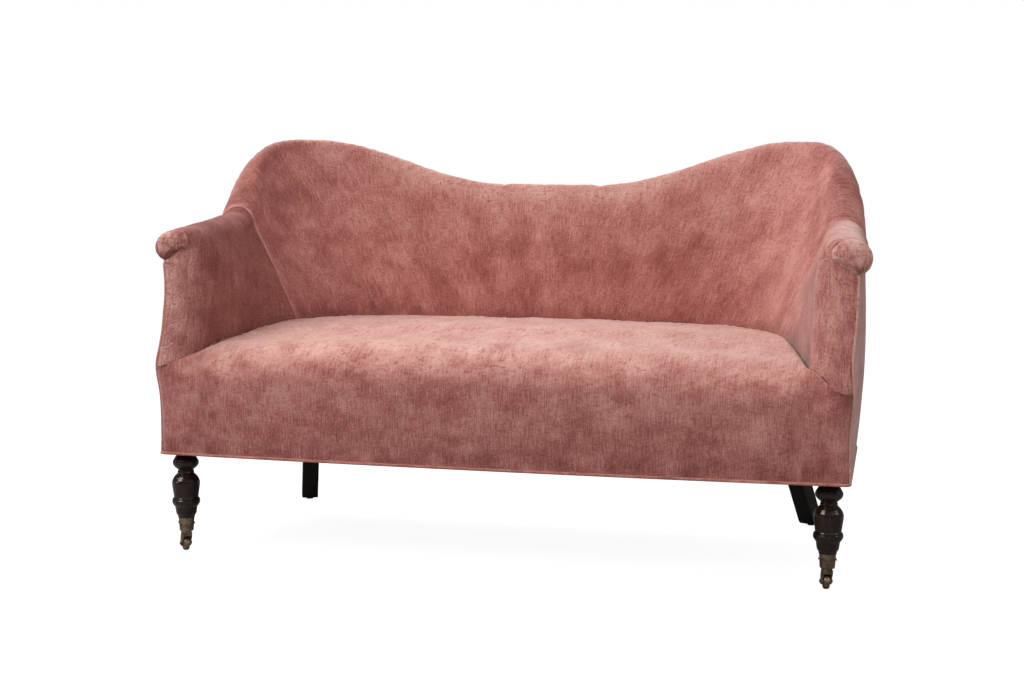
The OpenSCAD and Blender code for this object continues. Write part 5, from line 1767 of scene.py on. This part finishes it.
        # A painted highlight along the front edge, and random tone.
        light_and_tone = mix(light_and_tone, self.front_edge_highlight, front**1.3) + uneven
        pulls = pulls if near else pulls[::-1]
        foot = np.exp(-cover.runs[1] / self.foot_reach) * (1 - front)
        # Painted light on the gathers' wrinkles, and painted shade at the foot by the seat.
        light_and_tone = light_and_tone + mix(*self.pull_painted_light, self.left) * pulls - self.foot_painted_shade * foot
        cover.lay(light_and_tone)
        piece = dress(cover.piece(self.s.cover_t), self.look.arm_velvet[self.side], "velvet", f"{name}_arm_cover")

    def stuffing(self) -> None:
        """Makes the stuffing of the arm and of its front."""
        s, name = self.s, self.side.word
        f, t, angles = np.linspace(self.first + 0.01, self.wall.arm_end, 34), np.linspace(0, 1, 14), self.angles[::4]
        grid = self.wall.inside(f, 14, angles)
        inset = s.skin + mix(*s.pad_cap, self.wall.armness(f))
        back = np.concatenate([self.wall.pad_back(f, t), self.wall.cap(f, angles, inset)], axis=1)
        upper = mirrored(grid - grid_normals(grid) * (s.skin + self.stuffing_in), self.side)
        stuff(f"{name}_arm_stuffing", upper, mirrored(back, self.side), self.look, f"{name}_arm_pad")

        low, high = (np.array(c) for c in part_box(f"{name}_facing_pad"))
        z = np.linspace(low[2], high[2], 12)[None, :]
        x = np.linspace(low[0], high[0], 5)[:, None]
        y = s.front_y + np.maximum(0.010, self.wall.front_lean(z) + s.skin + 4 * MM) + 0 * x
        lower = plan_point(x, np.full_like(y, high[1]), z)
        stuff(f"{name}_facing_stuffing", plan_point(x, y, z), lower, self.look, f"{name}_facing_pad")

    def facing(self) -> None:
        """Makes the facing: across from the fold to the piping, up from the seat to the seam under the roll's end.

        It swells slightly in its middle, turns back at its outer edge, and is pulled into soft creases that run down
        from the seam and fade over about 70 mm.
        """
        s, wall, name = self.s, self.wall, self.side.word
        u, v = np.linspace(0, 1, 34)[:, None], np.linspace(0, 1, 72)[None, :]
        gap, welt = 0.05 * MM, self.piping_r - self.piping_lap
        inner_seam, outer_seam = self.seam_ends()
        foot_x = mix(s.arm_x - s.arm_t + s.face_fold + s.lay_gap, s.arm_x - 0.012, u)
        top = mix(inner_seam[2], outer_seam[2], u) + 0.2 * MM
        z = mix(wall.seat.height(foot_x * self.side.value, np.full_like(foot_x, s.front_y)) - 0.004, top, v)
        edge, start = self.fold_edge(self.inside_size[1])
        edge = edge[:start + 1]
        inner_x = np.interp(z, edge[:, 2], edge[:, 0]) + gap
        outer_x = corner_x(s, z, self.left) - welt
        x = mix(inner_x, outer_x, u)
        turned = s.corner_r * held((x - outer_x) / (s.corner_turn * s.corner_r) + 1) ** 2
        tilt = mix(*self.face_turns, self.left) * MM * ease((u - 0.8) / 0.2)
        face = s.front_y + np.maximum(wall.front_lean(z), turned) + tilt
        y = face + (np.interp(z, edge[:, 2], edge[:, 1]) - face) * held(1 - u / 0.52) ** 2
        y = y - self.face_swell * np.sin(np.pi * u) ** 2 - self.face_foot * bell((z - z[:, :1]) / 0.010) * ease(u / 0.3)
        fall = np.exp(-(top - z) / self.pleat_fall)
        fan = (x - outer_seam[0]) / np.maximum(0.03, outer_seam[2] + 0.03 - z)
        y = y + self.face_pleat * np.sin(9.0 * fan + 0.6) * fall * np.sin(np.pi * u) ** 0.6
        y = y + self.foot_hollow * bell((z - (z[:, :1] + self.foot_fold)) / 0.012) * np.exp(-u / 0.18)
        cover = Cover(f"{name}_facing_velvet", mirrored(plan_point(x, y, z), self.side), seed=8 + self.side.value,
                      uneven=0.0008, rounded=(False, False, True, False))
        cover.soften()
        # Painted light: the right facing is lighter by its inner edge, the left one lighter towards its outer edge; the
        # waves are random tone.
        across = u if self.side is Side.RIGHT else u[::-1]
        base = 0.20 + 0.22 * np.exp(-across / 0.06) if self.side is Side.RIGHT else mix(self.front_edge_highlight, 0.78, across)
        cover.wear_and_highlight = held(base + 0.20 * ripples(*cover.runs, seed=41 + self.side.value, short=0.02, long=0.10))
        # A pale line along the seam under the roll's end: rubbed pile with a painted highlight.
        cover.wear_and_highlight = np.maximum(cover.wear_and_highlight, 0.9 * bell(cover.ends()[3] / PALE_SEAM_LINE))
        dress(cover.piece(s.cover_t), self.look.arm_velvet[self.side], "velvet", f"{name}_facing")

    def roll_end(self) -> None:
        """Makes the pleated end of the roll: a dome inside the fold and above the seam.

        Its rim follows the fold's edge and the seam. Its depth is read off the knob's profile of rings, by straight
        interpolation from the rim to the middle. Pleats fan out from the notch as waves of the angle round it, and
        fade with the distance from it.
        """
        s, name = self.s, self.side.word
        edge, start = self.fold_edge()
        edge = edge[start:]
        seam = mix(edge[-1], edge[0], np.linspace(0, 1, 26)[1:-1, None])
        rim = np.concatenate([edge, seam])[:, ::2]
        centre, half = np.array(self.knob_at), np.array(self.knob_half)
        angle = np.arctan2(*((rim - centre) / half).T[::-1])
        ball = half * np.stack([np.cos(angle), np.sin(angle)], axis=-1)
        k = np.linspace(0, 1, self.ring_count)
        rings = np.array(self.knob_rings)
        run = np.concatenate([[0], np.cumsum(np.hypot(*np.diff(rings * [self.knob_r, 1], axis=0).T))])
        r, deep = (np.interp(k * run[-1], run, rings[:, axis])[:, None] for axis in (0, 1))
        deep = np.where(deep > 0, mix(deep, self.left_flat * deep**2 / deep.max(), self.left), deep)
        free = ease((np.cos(angle - np.radians(self.free_angle)) + 0.42) / 0.34) * mix(1, self.free_left, self.left)
        flat = centre + mix(rim - centre, ball, (ease(k / self.free_run)[:, None] * free)[..., None]) * r[..., None]
        off = flat - self.notch_at
        turn = np.arctan2(off[..., 1], -off[..., 0])
        far = np.linalg.norm(off, axis=-1)
        broad = np.cos(self.broad_pleats * turn + 2.2 * np.sin(2.3 * turn + 0.8) + 25 * far + self.side.value)
        fine = np.cos(self.fine_pleats * turn + 1.9 * np.sin(4 * turn + 70 * far))
        fade = np.exp(-far / self.pleat_fade) * ease(far / 0.005) + 0.15 * bell((far - 0.045) / 0.02)
        fold = (0.7 * broad + 0.45 * fine) * fade * ease(k / 0.35)[:, None]
        flat = plan_point(flat[..., 0], s.face_y - deep - self.pleat_deep * fold, flat[..., 1])
        rings = flat if self.side is Side.RIGHT else flat * [-1, 1, 1]
        cloth = np.stack([rings[..., 0] * self.side.value, rings[..., 2]], axis=-1)
        uneven = self.uneven_lie * ripples(flat[..., 0], flat[..., 2], seed=51, short=0.008, long=0.035, waves=14)
        # A painted highlight on the knob, and painted shade at the notch and in a hollow.
        high = bell(np.hypot(flat[..., 0] - self.high_at[0], flat[..., 2] - self.high_at[1]) / self.high_r)
        hollow = bell(np.hypot(flat[..., 0] - 0.650, off[..., 1] - 0.030) / 0.012)
        uneven = uneven + self.knob_painted_highlight * high - self.notch_painted_shade * bell(far / self.notch_r) - self.hollow_painted_shade * hollow
        rim_near = bell(k[:, None] / 0.16)
        # The knob is painted lighter, with painted light on the pleats' ridges and painted shade in their folds.
        state = self.roll_end_painted_light + self.pleat_painted_light * fold + uneven
        # Painted light along the rim where it meets the fold, and painted shade round the rim's free part.
        rub = np.stack([held(state) + 0.7 * rim_near * (1 - free), held(-state) + self.painted_shade * rim_near * free], -1)
        count, sides = rings.shape[:2]
        index = np.arange(count * sides).reshape(count, sides)
        quads = ring_faces(count, sides)[:-1]
        if self.side is Side.LEFT:
            quads = quads[..., ::-1]
        tip, base = count * sides, count * sides + 1
        mean = (rings[-1].mean(axis=0), rings[0].mean(axis=0))
        ends = []
        for k in range(sides):
            n = (k + 1) % sides
            caps = [[index[-1, k], index[-1, n], tip], [index[0, n], index[0, k], base]]
            ends += caps if self.side is Side.RIGHT else [c[::-1] for c in caps]
        faces = np.array(quads.reshape(-1, 4).tolist() + ends, dtype=object)
        points = np.concatenate([rings.reshape(-1, 3), np.stack(mean)])
        tips = np.stack([[m[0] * self.side.value, m[2]] for m in mean])
        maps = {"cloth": np.concatenate([cloth.reshape(-1, 2), tips]),
                "rub": np.concatenate([rub.reshape(-1, 2), np.zeros((2, 2))])}
        piece = closed_mesh(f"{name}_roll_end", points, faces, maps)
        dress(piece, self.look.arm_velvet[self.side], "velvet", f"{name}_scroll")

    def outside(self) -> None:
        """Makes the outside cover and the piping up the arm's front edge.

        The cover's head rises as a parabola over its last columns, to where the roll's fold narrows.
        """
        s, wall, name = self.s, self.wall, self.side.word
        f = np.append(np.linspace(self.first, wall.arm_end - 0.01, 44), 1.0)
        k = np.linspace(0, 1, 56)[None, :]
        z = mix(wall.outer_head(f)[:, None], s.box_z + s.over_welt, k)
        grid = wall.outer(f, z, self.left)
        edge_y = s.front_y + np.maximum(s.corner_r, wall.front_lean(z[-1]))
        grid[-1, :, 1] = edge_y + self.piping_r - self.piping_lap
        share = np.linspace(0, 1, self.rim_columns + 1)[1:, None, None]
        grid = np.concatenate([grid[:-1], mix(grid[-2:-1], grid[-1:], share)])
        raised = held((share[..., 0] - self.head_from) / (1 - self.head_from)) ** 2
        grid[-self.rim_columns:, :, 2] += self.head_rise * s.roll_fold * raised * (1 - k)
        cover = Cover(f"{name}_outside_velvet", mirrored(grid, self.side), seed=12 + self.side.value,
                      uneven=0.0010, rounded=(False, False, True, False), hem="last")
        cover.soften()
        # Painted light: the outside cover is lighter by 0.15; the waves are random tone.
        cover.lay(0.15 + 0.20 * ripples(*cover.runs, seed=45 + self.side.value, short=0.03, long=0.15))
        dress(cover.piece(s.cover_t), self.look.velvet, "velvet", f"{name}_outside_arm")

        z = np.linspace(s.box_z + s.welt_d / 2 - MM, self.seam_ends()[1][2] + 2.0 * MM, 72)
        y = s.front_y + np.maximum(s.corner_r, wall.front_lean(z))
        x = corner_x(s, z, self.left) - 0.0030 * bell((z[-1] - z) / 0.005)
        path = plan_point(x, y, z) * [self.side.value, 1, 1]
        # The piping's pale pile is a painted highlight, stronger on the right.
        piece = tube(f"{name}_facing_piping", path, self.piping_r, 12, mix(0.75, 0.40, self.left), closed=False)
        dress(piece, self.look.velvet, "velvet", f"{name}_facing_welt")

    def build(self) -> None:
        """Makes every piece of the arm."""
        self.inside()
        self.stuffing()
        self.facing()
        self.roll_end()
        self.outside()


@dataclass
class BoxTrim:
    """What closes the seat box: the outside back, the bottom piping and the dust cloth."""

    s: SofaSizes
    wall: WallForm
    look: Finishes
    dust_in: float = 0.007
    dust_sag: float = 0.005
    dust_uneven: float = 0.0006
    dust_columns: int = 110

    def outside_back(self) -> None:
        """Makes the outside back, from under the rounded top to the bottom piping."""
        s, wall = self.s, self.wall
        f = np.linspace(-wall.seam, wall.seam, 181)
        a = np.abs(f)
        z = mix(wall.outer_head(a)[:, None], s.box_z + s.over_welt, np.linspace(0, 1, 72)[None, :])
        grid = wall.outer(a, z)
        grid[..., 0] *= np.where(f < 0, -1.0, 1.0)[:, None]
        cover = Cover("outside_back_velvet", grid, seed=3, uneven=0.0012, rounded=(True, True, True, False), hem="last")
        cover.soften()
        dress(cover.piece(s.cover_t), self.look.velvet, "velvet", "outside_back")

    def foot_path(self) -> np.ndarray:
        """Returns the line of the bottom piping all round, with round front corners and the front's sag.

        Returns:
            Points once round, as a list by 3.
        """
        s = self.s
        side = self.wall.base.at(np.linspace(0, 0.995, 150))
        side = side[side[:, 1] > s.front_y + s.corner_r]
        g = np.linspace(0, np.pi / 2, 9)
        corner = np.stack([s.box_x - s.corner_r * (1 - np.cos(g)), s.front_y + s.corner_r * (1 - np.sin(g))], -1)
        half = np.vstack([side, corner])
        x = np.linspace(s.box_x - s.corner_r, 0, 80)[1:]
        right = np.vstack([half, np.stack([x, np.full_like(x, s.front_y)], -1)])
        z = np.where(right[:, 1] <= s.front_y + MM, self.wall.seat.sag_z(right[:, 0]), s.box_z)
        right = plan_point(right[:, 0], right[:, 1], z)
        left = right[1:-1][::-1] * [-1, 1, 1]
        return np.vstack([right, left])

    def dust_cloth(self) -> None:
        """Makes the black cloth under the seat box, which sags a little in its middle as a sine both ways."""
        low, high = (np.array(c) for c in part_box("dust_cover"))
        share = np.linspace(0, 1, 400)
        line = self.wall.base.at(share) - self.wall.base.outward(share, 0.01)[:, :2] * self.dust_in
        curve = line[:int(np.argmax(line[:, 0])) + 1]
        x = np.linspace(low[0], high[0], self.dust_columns)[:, None]
        y_back = np.interp(np.abs(x), curve[:, 0], curve[:, 1])
        y = mix(low[1], y_back, np.linspace(0, 1, 46)[None, :])
        sag = np.sin(np.pi * (x - low[0]) / (high[0] - low[0])) * np.sin(np.pi * (y - low[1]) / (high[1] - low[1]))
        uneven = self.dust_uneven * ripples(x + 0 * y, y, seed=21, short=0.05, long=0.15)
        z = low[2] - self.dust_sag * np.abs(sag) + uneven * held(6 * sag)
        upper = plan_point(x + 0 * y, y, z + (high[2] - low[2]))
        lower = plan_point(x + 0 * y, y, z)
        piece = dress(slab("dust_cloth", upper, lower), self.look.cambric, "cambric", "dust_cover")

    def build(self) -> None:
        """Makes the outside back, the bottom piping and the dust cloth."""
        self.outside_back()
        # The bottom piping's slightly pale pile is a painted highlight.
        piping = tube("bottom_piping", self.foot_path(), self.s.welt_d / 2, 12, 0.15, closed=True)
        dress(piping, self.look.velvet, "velvet", "bottom_welt")
        self.dust_cloth()


class FrameDresser:
    """Gives each of the frame's own pieces its finish."""

    def __init__(self, frame: dict, look: Finishes) -> None:
        """Keeps the frame's nodes and the finishes."""
        self.nodes = frame["nodes"]
        self.look = look

    def finish_for(self, name: str) -> bpy.types.Material:
        """Returns the finish of a node, by the words in its name.

        Args:
            name: The node's name.

        Returns:
            The material.
        """
        look = self.look
        words = (("castor_axle", look.steel), ("castor", look.brass), ("screws", look.brass), ("glides", look.steel),
                 ("springs", look.steel), ("webbing", look.jute), ("hessian", look.jute),
                 ("_back_leg", look.walnut_plain), ("_leg", look.walnut))
        return next((finish for word, finish in words if word in name), look.beech)

    def build(self) -> None:
        """Sets the finish in every material slot of the nodes that stay in view."""
        shown = {name: node for name, node in self.nodes.items() if not node.hide_render}
        for name, node in shown.items():
            finish = self.finish_for(name)
            if not node.material_slots:
                node.data.materials.append(finish)
            for place in node.material_slots:
                place.material = finish
        LOG.info("dressed %d of the frame's pieces", len(shown))


@dataclass(frozen=True)
class Lamp:
    """A soft rectangular light: where it stands, where it points, how wide and high it is, and its watts."""

    name: str
    place: tuple
    target: tuple
    size: tuple
    power: float

    def build(self) -> None:
        """Adds the light to the scene."""
        data = bpy.data.lights.new(self.name, "AREA")
        data.shape, data.energy = "RECTANGLE", self.power
        data.size, data.size_y = self.size
        place = Vector(self.place)
        aim = (Vector(self.target) - place).to_track_quat("-Z", "Y")
        linked(self.name, data).matrix_world = Matrix.Translation(place) @ aim.to_matrix().to_4x4()


LAMPS = (Lamp("key_light", (-2.6, -2.8, 2.9), (0.0, 0.0, 0.4), (2.2, 2.2), 90.0),
         Lamp("top_light", (-1.5, 0.9, 2.6), (0.1, -0.1, 0.4), (1.8, 1.8), 58.0),
         Lamp("fill_light", (2.6, -3.2, 1.8), (0.2, 0.0, 0.4), (2.0, 2.0), 8.0),
         Lamp("side_light", (3.2, -0.8, 1.5), (0.0, 0.0, 0.5), (1.6, 1.6), 12.0),
         Lamp("front_light", (0.5, -4.2, 2.1), (0.2, 0.0, 0.3), (1.8, 1.5), 6.0))


@dataclass
class Studio:
    """Camera, lights, floor and backdrop of a plain pale studio."""

    focal_px: float = 1700.0
    image_w: float = 1024.0
    sensor: float = 36.0
    eye: tuple = (0.753, -3.4307, 0.792)
    yaw: float = 12.83
    pitch: float = 6.08
    roll: float = 0.39
    sky: float = 0.50
    gloss_sky: float = 0.10
    floor_glow: float = 1.30
    floor_share: float = 0.7
    floor_half: float = 8.0
    floor_colour: str = "#e4e4e4"

    def camera(self) -> None:
        """Places the camera where the photograph was taken from: turned left, tilted down and slightly rolled."""
        yaw, pitch, roll = np.radians([self.yaw, self.pitch, self.roll])
        ahead = np.array([-np.sin(yaw) * np.cos(pitch), np.cos(yaw) * np.cos(pitch), -np.sin(pitch)])
        right = np.array([np.cos(yaw), np.sin(yaw), 0])
        up = np.cross(right, ahead)
        right, up = right * np.cos(roll) + up * np.sin(roll), up * np.cos(roll) - right * np.sin(roll)
        data = bpy.data.cameras.new("camera")
        data.sensor_width = self.sensor
        data.lens = self.focal_px * self.sensor / self.image_w
        data.clip_end = 60
        eye = linked("camera", data)
        turn = Matrix([right.tolist(), up.tolist(), (-ahead).tolist()]).transposed()
        eye.matrix_world = Matrix.Translation(Vector(self.eye)) @ turn.to_4x4()
        bpy.context.scene.camera = eye

    def backdrop(self) -> None:
        """Makes the world plain white where it is seen, and an even soft light elsewhere."""
        world = bpy.data.worlds.new("studio")
        bpy.context.scene.world = world
        tree = cleared(world)
        path = add(tree, "ShaderNodeLightPath")
        seen = add(tree, "ShaderNodeMath", {0: path.outputs["Is Camera Ray"], 1: path.outputs["Is Transmission Ray"]},
                   operation="MAXIMUM")
        strength = weighted(tree, [(seen.outputs[0], 1 - self.sky),
                                   (path.outputs["Is Glossy Ray"], self.gloss_sky - self.sky)])
        strength = add(tree, "ShaderNodeMath", {0: strength, 1: self.sky}, operation="ADD")
        light = add(tree, "ShaderNodeBackground", {"Color": (1, 1, 1, 1), "Strength": strength.outputs[0]})
        add(tree, "ShaderNodeOutputWorld", {"Surface": light.outputs[0]})

    def floor(self) -> None:
        """Makes the pale floor: matt white, with a little light of its own so that only soft shadows show."""
        half = self.floor_half
        mesh = bpy.data.meshes.new("floor")
        mesh.from_pydata([(-half, -half, 0), (half, -half, 0), (half, half, 0), (-half, half, 0)], [], [(0, 1, 2, 3)])
        floor = linked("floor", mesh)
        material = bpy.data.materials.new("floor_paper")
        tree = cleared(material)
        path = add(tree, "ShaderNodeLightPath")
        matt = add(tree, "ShaderNodeBsdfDiffuse", {"Color": linear(self.floor_colour)})
        lift = add(tree, "ShaderNodeMath", {0: path.outputs["Is Camera Ray"], 1: self.floor_glow},
                   operation="MULTIPLY")
        own = add(tree, "ShaderNodeEmission", {"Strength": lift.outputs[0]})
        glow = add(tree, "ShaderNodeMixShader", {0: self.floor_share, 1: matt.outputs[0], 2: own.outputs[0]})
        add(tree, "ShaderNodeOutputMaterial", {"Surface": glow.outputs[0]})
        mesh.materials.append(material)

    def build(self) -> None:
        """Makes the camera, the lights, the floor and the backdrop."""
        bpy.context.scene.view_settings.view_transform = "Standard"
        self.camera()
        for lamp in LAMPS:
            lamp.build()
        self.backdrop()
        self.floor()


def main() -> None:
    """Builds the sofa round the frame, piece by piece."""
    logging.basicConfig(level=logging.INFO, format="%(name)s %(message)s")
    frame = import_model()
    sizes = SofaSizes.from_frame()
    wall = WallForm(sizes)
    look = Finishes()
    Studio().build()
    Seat(sizes, wall.seat, look).build()
    InsideBack(sizes, wall, look).build()
    for side in Side:
        Arm(sizes, wall, look, side).build()
    BoxTrim(sizes, wall, look).build()
    FrameDresser(frame, look).build()


if __name__ == "__main__":
    main()
